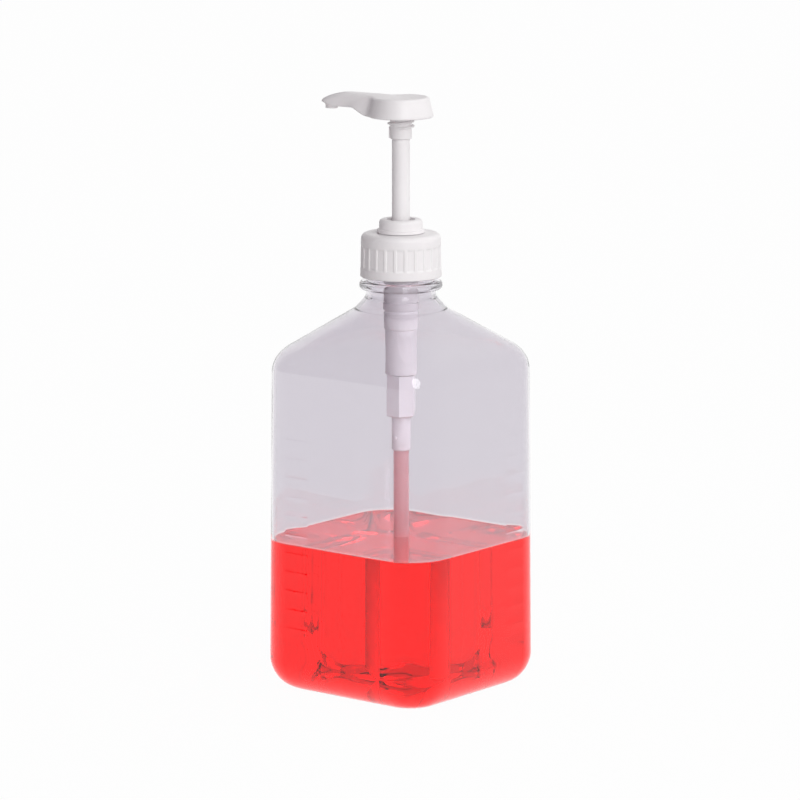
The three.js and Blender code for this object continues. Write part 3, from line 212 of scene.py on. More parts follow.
TUBE_WALL = 1.0 * MM
TUBE_CUT = math.radians(35)
TUBE_STOP_Z = TUBE_TOP_Z + SEAT_GAP

# Stem and spring
STEM_Z, STEM_TOP_Z = span("stem")
STEM_RADIUS = 4.65 * MM
STEM_BORE = 2.75 * MM
SPRING_Z, SPRING_TOP_Z = span("return_spring")
SPRING_RADIUS = 4.1 * MM
SPRING_WIRE = 0.5 * MM
SPRING_TURNS = 13

# Head. Its spout is made along +X and then turned.
HEAD_TURN = math.radians(188.5)
BOSS_Z, SPOUT_TOP_Z = span("pump_head")
BOSS_RADIUS = 5.7 * MM
BOSS_ROUND = 0.4 * MM
BOSS_SOCKET_RADIUS = 4.95 * MM
BOSS_SOCKET_Z = 303.0 * MM
BOSS_THREAD_Z = 295.4 * MM
BOSS_THREAD = 1.3 * MM
BOSS_THREAD_WIDTH = 1.5 * MM
BOSS_PITCH = 2.6 * MM
BOSS_TURNS = 1.75
BOSS_THREAD_LEAD = math.radians(264)
LOCK_KEY_START = 0.3 * MM
LOCK_KEY_LENGTH = 6.3 * MM
LOCK_KEY_WIDTH = 1.6 * MM
LOCK_KEY_RISE = 0.5 * MM
LOCK_KEY_ROUND = 0.25 * MM
LOCK_KEY_TURN = math.radians(28)
RIB_ROOT = 0.3 * MM
PAD_Z = 301.6 * MM
PAD_TOP_Z = 312.3 * MM
PAD_RADIUS = 14.9 * MM
PAD_FLARE = 2.0 * MM
PAD_DISH = 0.9 * MM
PAD_ROUND = 1.7 * MM
PAD_SKIRT_ROUND = 0.8 * MM
PAD_LIP = 0.6 * MM
PAD_WALL = 2.0 * MM
PAD_ROOF_Z = 307.0 * MM
PAD_ROOF_ROUND = 0.5 * MM
PAD_RIB = 1.2 * MM
PAD_RIB_DROP = 3.2 * MM
PAD_RIB_COUNT = 6
SPOUT_REACH = 47.0 * MM
SPOUT_ROOT_HALF = 7.6 * MM
SPOUT_TIP_HALF = 4.6 * MM
SPOUT_HUMP_X = 31.2 * MM
SPOUT_DROP = 4.8 * MM
SPOUT_SADDLE = 0.1 * MM
SPOUT_CROWN = 1.0 * MM
SPOUT_UNDER_Z = 305.4 * MM
SPOUT_UNDER_SPAN = (15.5 * MM, 27.0 * MM)
SPOUT_ROUND = 2.4 * MM
SPOUT_TIP_ROUND = 0.9 * MM
SPOUT_TIP_SHARE = 0.9
SPOUT_SLANT = 2.3 * MM
SPOUT_BLEND = 3.0 * MM
SPOUT_FLOW_SHARES = (-0.15, 0.9)
SLANT_START_SHARE = 0.72
NOZZLE_X = 41.6 * MM
NOZZLE_RADIUS = 3.3 * MM
NOZZLE_BORE = 1.8 * MM
NOZZLE_DROP = 1.5 * MM
NOZZLE_ROOT = 1.5 * MM
NOZZLE_ROUND = 0.3 * MM

# Roundings of moulded edges
FINE_ROUND = 0.15 * MM
SMALL_ROUND = 0.2 * MM
EDGE_ROUND = 0.3 * MM

# Threads: half widths of crest and foot as shares of the width, and the run-out at the ends in turns
THREAD_CREST = 0.2
THREAD_FOOT = 0.55
THREAD_RUN_OUT = 0.12

# Fineness of the surfaces. The arcs are steps in a rounding.
SMALL_ARC = 5
REST_ARC = 6
MIDDLE_ARC = 8
BROAD_ARC = 10
WIDE_ARC = 20
ROUND_COLUMNS = 96
CAP_RIB_COLUMNS = 20
COLLAR_COLUMNS = 120
HEXAGON_COLUMNS = 144
TUBE_COLUMNS = 72
SMALL_COLUMNS = 48
PIP_COLUMNS = 24
WIRE_COLUMNS = 12
COIL_STEPS = 40
HEAD_COLUMNS = 180
HEAD_CROWDING = 1.6
STRAIGHT_STEP = 6.0 * MM
TUBE_STEP = 1.5 * MM
NOZZLE_STEP = 0.5 * MM
CAP_STEP = 0.4 * MM
THREAD_STEP = 0.3 * MM
BOSS_THREAD_STEP = 0.15 * MM
UNDER_RINGS = 24
UNDER_CROWDING = 1.5
SKIRT_RINGS = 6
SIDE_RINGS = 8
RIM_RINGS = 10
TOP_RINGS = 40
RIB_ROWS = 6
KEY_ROWS = 5
BISECTIONS = 40
TICK_ROWS = np.array((-0.7, -0.55, -0.42, -0.3, 0, 0.3, 0.42, 0.55, 0.7)) * MM
TICK_END_COLUMNS = np.linspace(-0.9, 0.9, 9) * MM
COLUMN_GAP = 0.012

# Camera
PHOTO_WIDTH = 800
VIEW_PITCH = math.radians(10.4)
VIEW_AZIMUTH = math.radians(38.5)
VIEW_DISTANCE = 2.414
VIEW_LENS = 207.9
VIEW_SENSOR_WIDTH = 36.0
VIEW_CLIP_END = 50.0
VIEW_TARGET_Z = 152.9 * MM
VIEW_SHIFT = -0.9 / PHOTO_WIDTH
VIEW_RIGHT = Vector((math.cos(VIEW_AZIMUTH), math.sin(VIEW_AZIMUTH), 0.0))
VIEW_AHEAD = Vector((-math.sin(VIEW_AZIMUTH) * math.cos(VIEW_PITCH),
                     math.cos(VIEW_AZIMUTH) * math.cos(VIEW_PITCH), -math.sin(VIEW_PITCH)))

# Studio. LIGHT_FROM weighs the camera's right, up and the way to the camera. The ramps are the cosines
# between which the light grows and the white backdrop begins.
FLOOR_HALF_WIDTH = 8.0
FLOOR_LIFT = 0.975
WORLD_LIGHT = 0.92
BOTTLE_LOSS = 3.6
LIGHT_FROM = (0.93, 0.15, 0.33)
LIGHT_RAMP = (-0.5, 0.6)
BACKDROP_RAMP = (0.2, 0.7)
SHADE_SIDE = "#3C1F36"
BRIGHT_SIDE = "#FFFFFF"


def smoothstep(start, end, x):
    """0 before start, 1 after end, and 3t^2 - 2t^3 between them."""
    t = np.clip((np.asarray(x, float) - start) / (end - start), 0, 1)
    return t * t * (3 - 2 * t)


def outline(corners):
    """Points along a line of corners (x, y), (x, y, radius) or (x, y, radius, steps), rounded by arcs.

    An arc's centre lies on its corner's bisector at radius / sin(half the corner's angle), and its points
    are the start turned about the centre by equal shares of the sweep. The line's ends stay sharp.
    """
    points = []
    for i, (x, y, *arc) in enumerate(corners):
        here = np.array((x, y))
        if not arc or i in (0, len(corners) - 1):
            points.append(here[None])
            continue
        radius, steps = arc if len(arc) > 1 else (arc[0], SMALL_ARC)
        back = np.array(corners[i - 1][:2]) - here
        ahead = np.array(corners[i + 1][:2]) - here
        back, ahead = back / np.hypot(*back), ahead / np.hypot(*ahead)
        half = math.acos(np.clip(back @ ahead, -1, 1)) / 2
        bisector = (back + ahead) / np.hypot(*(back + ahead))
        centre = here + bisector * radius / math.sin(half)
        start = here + back * radius / math.tan(half) - centre
        end = here + ahead * radius / math.tan(half) - centre
        sweep = math.atan2(start[0] * end[1] - start[1] * end[0], start @ end)
        angles = sweep * np.linspace(0, 1, steps + 1)
        turned_start = np.stack((start[0] * np.cos(angles) - start[1] * np.sin(angles),
                                 start[0] * np.sin(angles) + start[1] * np.cos(angles)), 1)
        points.append(centre + turned_start)
    return np.concatenate(points)


def filled(points, step=STRAIGHT_STEP):
    """The same line with further points, so that no two are more than step apart."""
    lengths = np.hypot(*np.diff(points, axis=0).T)
    counts = np.maximum(1, np.ceil(lengths / step)).astype(int)
    start = np.repeat(points[:-1], counts, axis=0)
    ahead = np.repeat(np.diff(points, axis=0), counts, axis=0)
    index = np.arange(counts.sum()) - np.repeat(np.cumsum(counts) - counts, counts)
    share = index / np.repeat(counts, counts)
    return np.vstack((start + ahead * share[:, None], points[-1]))


def with_level(points, z):
    """The same line with one further point where it first crosses a height, so that faces end there."""
    i = np.flatnonzero((points[:-1, 1] - z) * (points[1:, 1] - z) < 0)[0]
    share = (z - points[i, 1]) / (points[i + 1, 1] - points[i, 1])
    return np.insert(points, i + 1, points[i] + share * (points[i + 1] - points[i]), axis=0)


def fan_faces(ring, pole):
    """Triangles from a closed ring of points to one pole."""
    return np.stack((ring, np.roll(ring, -1), np.full_like(ring, pole)), 1)


def closed_grid(grid, wrap_rows=False):
    """Points, quads and triangles of one closed body from a grid whose columns close on themselves.

    Its rows close on themselves too, or end in a pole at each end.
    """
    rows, columns = grid.shape[:2]
    points = grid.reshape(-1, 3)
    row = np.arange(rows if wrap_rows else rows - 1)[:, None] * columns
    column = np.arange(columns)[None]
    above, beside = (row + columns) % (rows * columns), (column + 1) % columns
    quads = np.stack((row + column, row + beside, above + beside, above + column), -1).reshape(-1, 4)
    if wrap_rows:
        return points, quads, np.empty((0, 3), int)
    poles = np.stack((grid[0].mean(0), grid[-1].mean(0)))
    ring = np.arange(columns)
    low_end = fan_faces(ring[::-1], len(points))
    high_end = fan_faces((rows - 1) * columns + ring, len(points) + 1)
    return np.vstack((points, poles)), quads, np.vstack((low_end, high_end))


def volume(points, triangles):
    """Signed volume: the sum of the tetrahedra between the origin and each triangle."""
    a, b, c = (points[triangles[:, k]] for k in range(3))
    return np.einsum("ij,ij->i", a, np.cross(b, c)).sum() / 6


def placed(name, data):
    """A new object in the scene."""
    made = bpy.data.objects.new(name, data)
    scene.collection.objects.link(made)
    return made


def piece(name, cad_node, bodies, material, sharp=40, second=None):
    """One mesh from closed bodies, which replaces a CAD node and rides on that node's body.

    Faces are turned outwards and are smooth but for edges over sharp degrees. second is a further material
    and a function of the faces' centres and normals that says which wear it.
    """
    points, faces, sizes, offset = [], [], [], 0
    for body_points, quads, triangles in bodies:
        split = np.vstack((triangles, quads[:, (0, 1, 2)], quads[:, (0, 2, 3)]))
        if volume(body_points, split) < 0:
            quads, triangles = quads[:, ::-1], triangles[:, ::-1]
        points.append(body_points)
        faces += [(quads + offset).ravel(), (triangles + offset).ravel()]
        sizes += [np.full(len(quads), 4), np.full(len(triangles), 3)]
        offset += len(body_points)
    points, corners, sizes = np.vstack(points), np.concatenate(faces), np.concatenate(sizes)
    mesh = bpy.data.meshes.new(name)
    mesh.vertices.add(len(points))
    mesh.vertices.foreach_set("co", points.ravel())
    mesh.loops.add(len(corners))
    mesh.loops.foreach_set("vertex_index", corners.astype(np.int32))
    mesh.polygons.add(len(sizes))
    mesh.polygons.foreach_set("loop_start", (np.cumsum(sizes) - sizes).astype(np.int32))
    mesh.update(calc_edges=True)
    mesh.validate()
    mesh.shade_smooth()
    mesh.set_sharp_from_angle(angle=math.radians(sharp))
    mesh.materials.append(material)
    if second is not None:
        centres, normals = np.empty((2, len(sizes), 3), np.float32)
        mesh.polygons.foreach_get("center", centres.ravel())
        mesh.polygons.foreach_get("normal", normals.ravel())
        mesh.materials.append(second[0])
        mesh.polygons.foreach_set("material_index", second[1](centres, normals).astype(np.int32))
    made = placed(name, mesh)
    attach(made, BODY_OF[cad_node])
    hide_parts(cad_node)
    return made


def columns_round(count):
    return np.arange(count) * TURN / count


def polar(radius, angle, z):
    """Points from their distances from the Z axis, their angles round it and their heights."""
    return np.stack(np.broadcast_arrays(radius * np.cos(angle), radius * np.sin(angle), z), -1)


def turned(corners, columns=ROUND_COLUMNS, step=STRAIGHT_STEP, solid=False, radius_at=None):
    """An outline of (radius, z) corners turned round the Z axis.

    A solid one begins and ends on the axis, where poles close it. The last corner may repeat the first.
    radius_at(angle, radius, z) may shift the radius.
    """
    line = outline(corners)
    line = line[1:-1] if solid else line[:-1] if corners[0] == corners[-1] else line
    profile = filled(line, step)
    angle = columns_round(columns)[None]
    radius, z = profile[:, :1], profile[:, 1:]
    if radius_at is not None:
        radius = radius_at(angle, radius, z)
    return closed_grid(polar(radius, angle, z), wrap_rows=not solid)


def spun(body, angle):
    """A body turned about the Z axis."""
    points, quads, triangles = body
    c, s = math.cos(angle), math.sin(angle)
    return points @ np.array(((c, s, 0), (-s, c, 0), (0, 0, 1))), quads, triangles


def thread_rise(angle, z, low, width, pitch, turns):
    """Share of a thread's height at an angle and z.

    Its ridge starts at low, climbs one pitch each turn and runs out at its ends.
    """
    rise = np.zeros_like(z)
    for lap in range(math.ceil(turns) + 1):
        along = angle / TURN + lap
        middle = low + width / 2 + pitch * along
        flank = 1 - smoothstep(THREAD_CREST * width, THREAD_FOOT * width, np.abs(z - middle))
        ends = smoothstep(0, THREAD_RUN_OUT, along) * (1 - smoothstep(turns - THREAD_RUN_OUT, turns, along))
        rise = np.maximum(rise, flank * ends)
    return rise


def square_reach(half, corner_radius, angle):
    """Distance from the axis, at an angle, to a square of that half width with rounded corners.

    On the flat side it is half / cos(angle). On the corner it is the farther crossing of the ray with the
    corner's circle, whose centre is at half - corner_radius on both axes.
    """
    folded = np.abs(np.arctan2(np.sin(2 * angle), np.cos(2 * angle)))
    quarter = np.minimum(folded, math.pi - folded) / 2
    flat = half - corner_radius
    along = flat * (np.cos(quarter) + np.sin(quarter))
    under_root = np.maximum(0, corner_radius ** 2 - flat ** 2 * (1 - np.sin(2 * quarter)))
    on_corner = along + np.sqrt(under_root)
    return np.where(half * np.tan(quarter) <= flat, half / np.cos(quarter), on_corner)


def bottle_corner(half, z, inset):
    """Corner radius of the bottle's section.

    It is the whole half width at the neck, BODY_CORNER on the body, and less again under the base.
    """
    body_half, body_corner = BODY_WIDTH / 2 - inset, BODY_CORNER - inset
    under = np.maximum(body_corner - (body_half - half), BASE_CORNER_SHARE * body_corner * half / body_half)
    neck = NECK_FOOT_RADIUS - inset
    shoulder_half = (BODY_WIDTH - BODY_DRAFT) / 2 - inset
    t = np.clip((half - neck) / (shoulder_half - neck), 0, 1)
    above = np.minimum(half, neck) * (1 - t) + body_corner * t
    return np.where(z < HEEL_RADIUS, under, above)


def bottle_columns():
    """Angles of the bottle's columns: even on sides and corners, and close together at the ticks' ends."""
    even = columns_round(ROUND_COLUMNS)
    half = BODY_WIDTH / 2
    near = []
    for end in (-TICK_LENGTH / 2, TICK_LENGTH / 2):
        near.append(np.arctan2(-half, TICK_FRONT_X + end + TICK_END_COLUMNS) % TURN)
        near.append(np.arctan2(TICK_RIGHT_Y + end + TICK_END_COLUMNS, half) % TURN)
    near = np.concatenate(near)
    gap = np.abs(even[:, None] - near[None]).min(1)
    return np.sort(np.concatenate((even[gap > COLUMN_GAP], near)))


def bottle_profile(inset):
    """Corners of the bottle's half width and height, from under its base to its neck's foot.

    inset is how far the line lies within the outer surface.
    """
    foot = BODY_WIDTH / 2 - inset
    shoulder = (BODY_WIDTH - BODY_DRAFT) / 2 - inset
    rest_in = BODY_WIDTH / 2 - HEEL_RADIUS - REST_RING
    drop = inset * NECK_FOOT_RADIUS / BODY_WIDTH
    return [
        (rest_in - PUSH_UP_SLOPE, PUSH_UP + inset, PUSH_UP_ROUND + inset, MIDDLE_ARC),
        (rest_in, inset, REST_ROUND - inset, REST_ARC),
        (foot, inset, HEEL_RADIUS - inset, WIDE_ARC),
        (shoulder, SHOULDER_Z - drop, SHOULDER_ROUND - inset, WIDE_ARC),
        (NECK_FOOT_RADIUS - inset, NECK_FOOT_Z - drop, NECK_FOOT_ROUND + inset, BROAD_ARC),
    ]


def bottle_rings(profile, inset, columns):
    """A profile of (half width, z) carried round the bottle's section, whose corners change with height."""
    half, z = profile[:, :1], profile[:, 1:]
    return polar(square_reach(half, bottle_corner(half, z, inset), columns), columns, z)


def tick_rise(along, z):
    """Height of the moulded ticks: rounded bars TICK_STEP apart, TICK_LENGTH long."""
    nearest = np.clip(np.round((z - TICK_Z) / TICK_STEP), 0, TICK_COUNT - 1)
    across = np.abs(z - TICK_Z - nearest * TICK_STEP)
    bar = 1 - smoothstep(TICK_WIDTH / 2 - TICK_EDGE / 2, TICK_WIDTH / 2 + TICK_EDGE, across)
    ends = 1 - smoothstep(TICK_LENGTH / 2 - TICK_EDGE, TICK_LENGTH / 2 + TICK_EDGE, np.abs(along))
    return TICK_RISE * bar * ends


def bottle_shell():
    """Outer and inner surface as one grid of rings: up the outside, over the mouth and down the inside.

    The rings lie closer at the ticks, which push two walls out, and on the finish, which the thread widens.
    """
    columns = bottle_columns()
    lip = ((FINISH_RADIUS + MOUTH_RADIUS) / 2, MOUTH_Z)
    outside = filled(outline([
        (0, PUSH_UP), *bottle_profile(0),
        (NECK_RADIUS, NECK_Z, NECK_ROUND, MIDDLE_ARC), (NECK_RADIUS, BEAD_Z, BEAD_ROOT_ROUND),
        (BEAD_RADIUS, BEAD_Z, BEAD_ROUND, MIDDLE_ARC),
        (BEAD_RADIUS, BEAD_TOP_Z, BEAD_ROUND, MIDDLE_ARC),
        (FINISH_RADIUS, BEAD_TOP_Z, BEAD_ROOT_ROUND), (FINISH_RADIUS, MOUTH_Z, MOUTH_ROUND), lip,
    ])[1:])
    finish_z = np.arange(BEAD_TOP_Z + 2 * BEAD_ROOT_ROUND, MOUTH_Z - 2 * MOUTH_ROUND, THREAD_STEP)
    finish = np.stack((FINISH_RADIUS + 0 * finish_z, finish_z), 1)
    middles = TICK_Z + TICK_STEP * np.arange(TICK_COUNT)
    wall_z = (middles[:, None] + TICK_ROWS).ravel()
    wall = np.stack(((BODY_WIDTH - BODY_DRAFT * wall_z / SHOULDER_Z) / 2, wall_z), 1)
    height = outside[:, 1]
    first, last = np.flatnonzero((height > wall_z[0]) & (height < wall_z[-1]))[[0, -1]]
    to_finish = (np.arange(len(outside)) > last) & (height <= BEAD_TOP_Z + BEAD_ROOT_ROUND)
    rows = np.vstack((outside[:first], wall, outside[to_finish], finish, outside[height > finish_z[-1]]))
    inside = outline([
        lip, (MOUTH_RADIUS, MOUTH_Z, MOUTH_ROUND), (MOUTH_RADIUS, NECK_Z, NECK_ROUND, MIDDLE_ARC),
        *bottle_profile(BODY_WALL)[::-1], (0, PUSH_UP + BODY_WALL),
    ])[1:-1]
    outer = bottle_rings(rows, 0, columns)
    x, y, z = np.moveaxis(outer, -1, 0)
    on_body = z < SHOULDER_Z - SHOULDER_ROUND
    front = (y < -FLAT_SHARE * np.abs(y).max(1)[:, None]) & on_body
    right = (x > FLAT_SHARE * np.abs(x).max(1)[:, None]) & on_body
    y -= np.where(front, tick_rise(x - TICK_FRONT_X, z), 0)
    x += np.where(right, tick_rise(y - TICK_RIGHT_Y, z), 0)
    rise = thread_rise(columns, z, FINISH_THREAD_Z, FINISH_THREAD_WIDTH, FINISH_PITCH, FINISH_TURNS)
    outer[..., :2] *= (1 + rise * FINISH_THREAD / FINISH_RADIUS)[..., None]
    inner = bottle_rings(with_level(filled(inside), SYRUP_Z), BODY_WALL, columns)
    return closed_grid(np.concatenate((outer, inner)))


def syrup_body():
    """The bottle's inside up to the syrup's surface, which curves up at the walls and the dip tube.

    It reaches WET_SINK into the wall, so that light passes from wall to syrup with no film of air. The
    climb falls off as exp(-distance from the wall / MENISCUS_REACH). The surface's rings go over from the
    bottle's section to circles.
    """
    columns = bottle_columns()
    inset = BODY_WALL - WET_SINK
    half = (BODY_WIDTH - BODY_DRAFT * SYRUP_Z / SHOULDER_Z) / 2 - inset
    wall = outline([(0, PUSH_UP + inset), *bottle_profile(inset)[:3], (half, SYRUP_Z + MENISCUS_RISE)])[1:]
    hole = TUBE_RADIUS - WET_SINK
    shares = np.concatenate((1 - np.geomspace(*CLOSE_SHARES, CLOSE_RINGS),
                             np.linspace(*MIDDLE_SHARES, MIDDLE_RINGS),
                             np.geomspace(*CLOSE_SHARES[::-1], CLOSE_RINGS)))
    across = hole + (half - hole) * shares
    climb = MENISCUS_RISE * (np.exp(-(half - across) / MENISCUS_REACH)
                             + MENISCUS_TUBE_SHARE * np.exp(-(across - hole) / MENISCUS_REACH))
    surface_z = SYRUP_Z + climb
    square_top = bottle_rings(np.stack((across, surface_z), 1), inset, columns)
    round_top = polar(across[:, None], columns, surface_z[:, None])
    ring_share = np.linspace(0, 1, len(across))[:, None, None]
    top = square_top * (1 - ring_share) + round_top * ring_share
    outer = bottle_rings(filled(wall), inset, columns)
    depth = filled(np.array(((hole, SYRUP_Z + MENISCUS_TUBE_SHARE * MENISCUS_RISE),
                             (hole, TUBE_Z - UNDER_TUBE))))
    down = polar(depth[:, :1], columns, depth[:, 1:])
    return closed_grid(np.concatenate((outer, top, down)))


def wet_inside(centres, normals):
    """The bottle's inner faces under the syrup: their normals point towards the bottle's middle."""
    inwards = ((centres - (0, 0, SYRUP_Z)) * normals).sum(1) < 0
    return inwards & (centres[:, 2] < SYRUP_Z)


def against_plastic(centres, normals):
    """All of the syrup's faces but its open surface, which lies on top and faces up."""
    return (normals[:, 2] < SURFACE_NORMAL) | (centres[:, 2] < SYRUP_Z - SURFACE_BAND)


def tube_bore(centres, normals):
    """The dip tube's inner faces: their normals point towards its axis."""
    return (centres[:, :2] * normals[:, :2]).sum(1) < 0


def cap_radius(angle, radius, z):
    """Sinks grip panels between the cap's ribs. Their edges are smooth steps, and they run out upwards."""
    pitch = TURN / CAP_RIB_COUNT
    from_rib = np.abs((angle + pitch / 2) % pitch - pitch / 2) * CAP_RADIUS
    beside = smoothstep(CAP_RIB_WIDTH / 2, CAP_RIB_WIDTH / 2 + CAP_GRIP_EDGE, from_rib)
    low, high = CAP_Z + CAP_GRIP_Z, CAP_Z + CAP_GRIP_Z + CAP_GRIP_BAND
    in_band = smoothstep(low, low + CAP_GRIP_EDGE, z) * (1 - smoothstep(high - CAP_GRIP_RUN_OUT, high, z))
    outside = radius > (CAP_RADIUS + CAP_INNER_RADIUS) / 2
    return radius - CAP_GRIP_DEPTH * beside * in_band * outside


def screw_cap():
    foot = ((CAP_INNER_RADIUS + CAP_RADIUS) / 2, CAP_Z)
    under_top = CAP_TOP_Z - CAP_WALL_TOP
    return turned([
        foot, (CAP_RADIUS, CAP_Z, CAP_EDGE_ROUND),
        (CAP_RADIUS - CAP_DRAFT, CAP_TOP_Z, CAP_ROUND, BROAD_ARC),
        (CAP_HOLE_RADIUS, CAP_TOP_Z, EDGE_ROUND), (CAP_HOLE_RADIUS, under_top),
        (CAP_INNER_RADIUS, under_top), (CAP_INNER_RADIUS, CAP_Z, EDGE_ROUND), foot,
    ], CAP_RIB_COUNT * CAP_RIB_COLUMNS, CAP_STEP, radius_at=cap_radius)


def lock_collar():
    """A ring over a flange, with the thread in its bore that holds the head down in transport."""
    def bore_thread(angle, radius, z):
        inner = (radius < COLLAR_BORE + COLLAR_THREAD_MARGIN) & (z > COLLAR_LEDGE_Z)
        rise = thread_rise(angle, z, COLLAR_LEDGE_Z, BOSS_THREAD_WIDTH, BOSS_PITCH, 1)
        return radius - COLLAR_THREAD * inner * rise

    foot_z = COLLAR_Z + COLLAR_FLANGE
    return turned([
        (COLLAR_FOOT_BORE, COLLAR_Z), (COLLAR_FLANGE_RADIUS, COLLAR_Z),
        (COLLAR_FLANGE_RADIUS, foot_z, COLLAR_FLANGE_ROUND), (COLLAR_RADIUS, foot_z, COLLAR_ROOT_ROUND),
        (COLLAR_RADIUS, COLLAR_TOP_Z, COLLAR_ROUND, BROAD_ARC),
        (COLLAR_BORE, COLLAR_TOP_Z, COLLAR_MOUTH_ROUND), (COLLAR_BORE, COLLAR_LEDGE_Z),
        (COLLAR_FOOT_BORE, COLLAR_LEDGE_Z),
    ], COLLAR_COLUMNS, THREAD_STEP, radius_at=bore_thread)


def pump_cylinder():
    """A barrel with a step, a raised band between two grooves, the flange on the mouth, and the hub."""
    groove = CYLINDER_RADIUS - GROOVE_DEPTH
    band = CYLINDER_RADIUS + BAND_RISE
    low, high = BAND_Z - BAND_WIDTH / 2, BAND_Z + BAND_WIDTH / 2
    fine, soft = FINE_ROUND, EDGE_ROUND
    return turned([
        (CYLINDER_BORE, CYLINDER_Z), (CYLINDER_LOWER_RADIUS, CYLINDER_Z, soft),
        (CYLINDER_LOWER_RADIUS, CYLINDER_STEP_Z - CYLINDER_STEP, fine),
        (CYLINDER_RADIUS, CYLINDER_STEP_Z, fine), (CYLINDER_RADIUS, low - GROOVE_WIDTH, fine),
        (groove, low - GROOVE_WIDTH, fine), (groove, low, fine), (band, low, fine), (band, high, fine),
        (groove, high, fine), (groove, high + GROOVE_WIDTH, fine),
        (CYLINDER_RADIUS, high + GROOVE_WIDTH, fine), (CYLINDER_RADIUS, FLANGE_Z, soft),
        (FLANGE_RADIUS, FLANGE_Z, fine), (FLANGE_RADIUS, FLANGE_TOP_Z, fine),
        (HUB_RADIUS, FLANGE_TOP_Z, fine), (HUB_RADIUS, CYLINDER_TOP_Z, fine),
        (HUB_BORE, CYLINDER_TOP_Z, fine), (HUB_BORE, GUIDE_LEDGE_Z), (CYLINDER_BORE, GUIDE_LEDGE_Z),
    ])


def valve_body():
    """A rounded hexagon under the round cylinder, with a chamfer at its lower edge and a round bore.

    The hexagon's reach at an angle is VALVE_FLAT / cos(angle from the nearest flat's middle), held to
    VALVE_CORNER by a smooth minimum.
    """
    def hexagon(angle, radius, z):
        sixth = TURN / 6
        from_flat = (angle % sixth) - sixth / 2
        flat = VALVE_FLAT / np.cos(from_flat)
        near = np.maximum(VALVE_CORNER_ROUND - np.abs(flat - VALVE_CORNER), 0)
        side = np.minimum(flat, VALVE_CORNER) - near ** 2 / (4 * VALVE_CORNER_ROUND)
        outside = (z < VALVE_SHOULDER_Z + VALVE_MARGIN) & (radius > VALVE_BORE + VALVE_MARGIN)
        return np.where(outside, side * radius / VALVE_CORNER, radius)

    return turned([
        (VALVE_BORE, VALVE_Z), (VALVE_CORNER - VALVE_CHAMFER, VALVE_Z, FINE_ROUND),
        (VALVE_CORNER, VALVE_Z + VALVE_CHAMFER, SMALL_ROUND), (VALVE_CORNER, VALVE_SHOULDER_Z, SMALL_ROUND),
        (SPIGOT_RADIUS, VALVE_SHOULDER_Z), (SPIGOT_RADIUS, SPIGOT_TOP_Z), (VALVE_BORE, SPIGOT_TOP_Z),
    ], HEXAGON_COLUMNS, radius_at=hexagon)


def tube_fitting():
    """The fitting that holds the dip tube, and the small round pip on its front."""
    fitting = turned([
        (FITTING_SOCKET, FITTING_Z), (FITTING_RADIUS, FITTING_Z, FITTING_EDGE_ROUND),
        (FITTING_RADIUS, FITTING_TOP_Z, SMALL_ROUND), (FITTING_BORE, FITTING_TOP_Z),
        (FITTING_BORE, TUBE_STOP_Z), (FITTING_SOCKET, TUBE_STOP_Z),
    ], TUBE_COLUMNS)
    length = 2 * PIP_RISE
    points, quads, triangles = turned(
        [(0, 0), (PIP_RADIUS, 0), (PIP_RADIUS, length, SMALL_ROUND), (0, length)], PIP_COLUMNS, solid=True)
    laid = np.stack((points[:, 0], -points[:, 2] - FITTING_RADIUS + PIP_RISE, points[:, 1] + PIP_Z), 1)
    return fitting, (laid, quads, triangles)


def dip_tube():
    """A tube whose lower end is cut at a slant: its end's height falls along X at the tangent of TUBE_CUT."""
    inner = TUBE_RADIUS - TUBE_WALL
    points, quads, triangles = turned([
        (inner, TUBE_Z), (TUBE_RADIUS, TUBE_Z, SMALL_ROUND), (TUBE_RADIUS, TUBE_TOP_Z), (inner, TUBE_TOP_Z),
    ], TUBE_COLUMNS, TUBE_STEP)
    points[:, 2] += (math.tan(TUBE_CUT) * (TUBE_RADIUS - points[:, 0])
                     * (TUBE_TOP_Z - points[:, 2]) / (TUBE_TOP_Z - TUBE_Z))
    return points, quads, triangles


def syrup_column():
    radius = TUBE_RADIUS - TUBE_WALL + COLUMN_SINK
    low, high = span("syrup_in_dip_tube")
    return turned([(0, low), (radius, low), (radius, high), (0, high)], SMALL_COLUMNS, solid=True)


def stem():
    return turned([
        (STEM_BORE, STEM_Z), (STEM_RADIUS, STEM_Z, SMALL_ROUND), (STEM_RADIUS, STEM_TOP_Z),
        (STEM_BORE, STEM_TOP_Z),
    ], TUBE_COLUMNS)


def return_spring():
    """A round wire carried along a helix: its section is turned in the plane of the axis at each step."""
    share = np.linspace(0, 1, SPRING_TURNS * COIL_STEPS + 1)[:, None]
    around = columns_round(WIRE_COLUMNS)[None]
    height = SPRING_Z + SPRING_WIRE + (SPRING_TOP_Z - SPRING_Z - 2 * SPRING_WIRE) * share
    return closed_grid(polar(SPRING_RADIUS + SPRING_WIRE * np.cos(around), TURN * SPRING_TURNS * share,
                             height + SPRING_WIRE * np.sin(around)))


def outline_distance(x, y):
    """Distance outwards from the outline of pad and spout seen from above, the spout along +X.

    It is the smaller of the distances to the pad's circle and to a bar whose half width tapers along it,
    less a smooth term where the two are alike, which hollows the corner between them.
    """
    pad = np.hypot(x, y) - PAD_RADIUS
    length = SPOUT_REACH - SPOUT_TIP_HALF
    t = np.clip(x / length, 0, 1)
    half_width = SPOUT_ROOT_HALF + (SPOUT_TIP_HALF - SPOUT_ROOT_HALF) * t
    spout = np.hypot(x - t * length, y) - half_width
    near = np.maximum(SPOUT_BLEND - np.abs(pad - spout), 0)
    return np.minimum(pad, spout) - near ** 2 / (4 * SPOUT_BLEND)


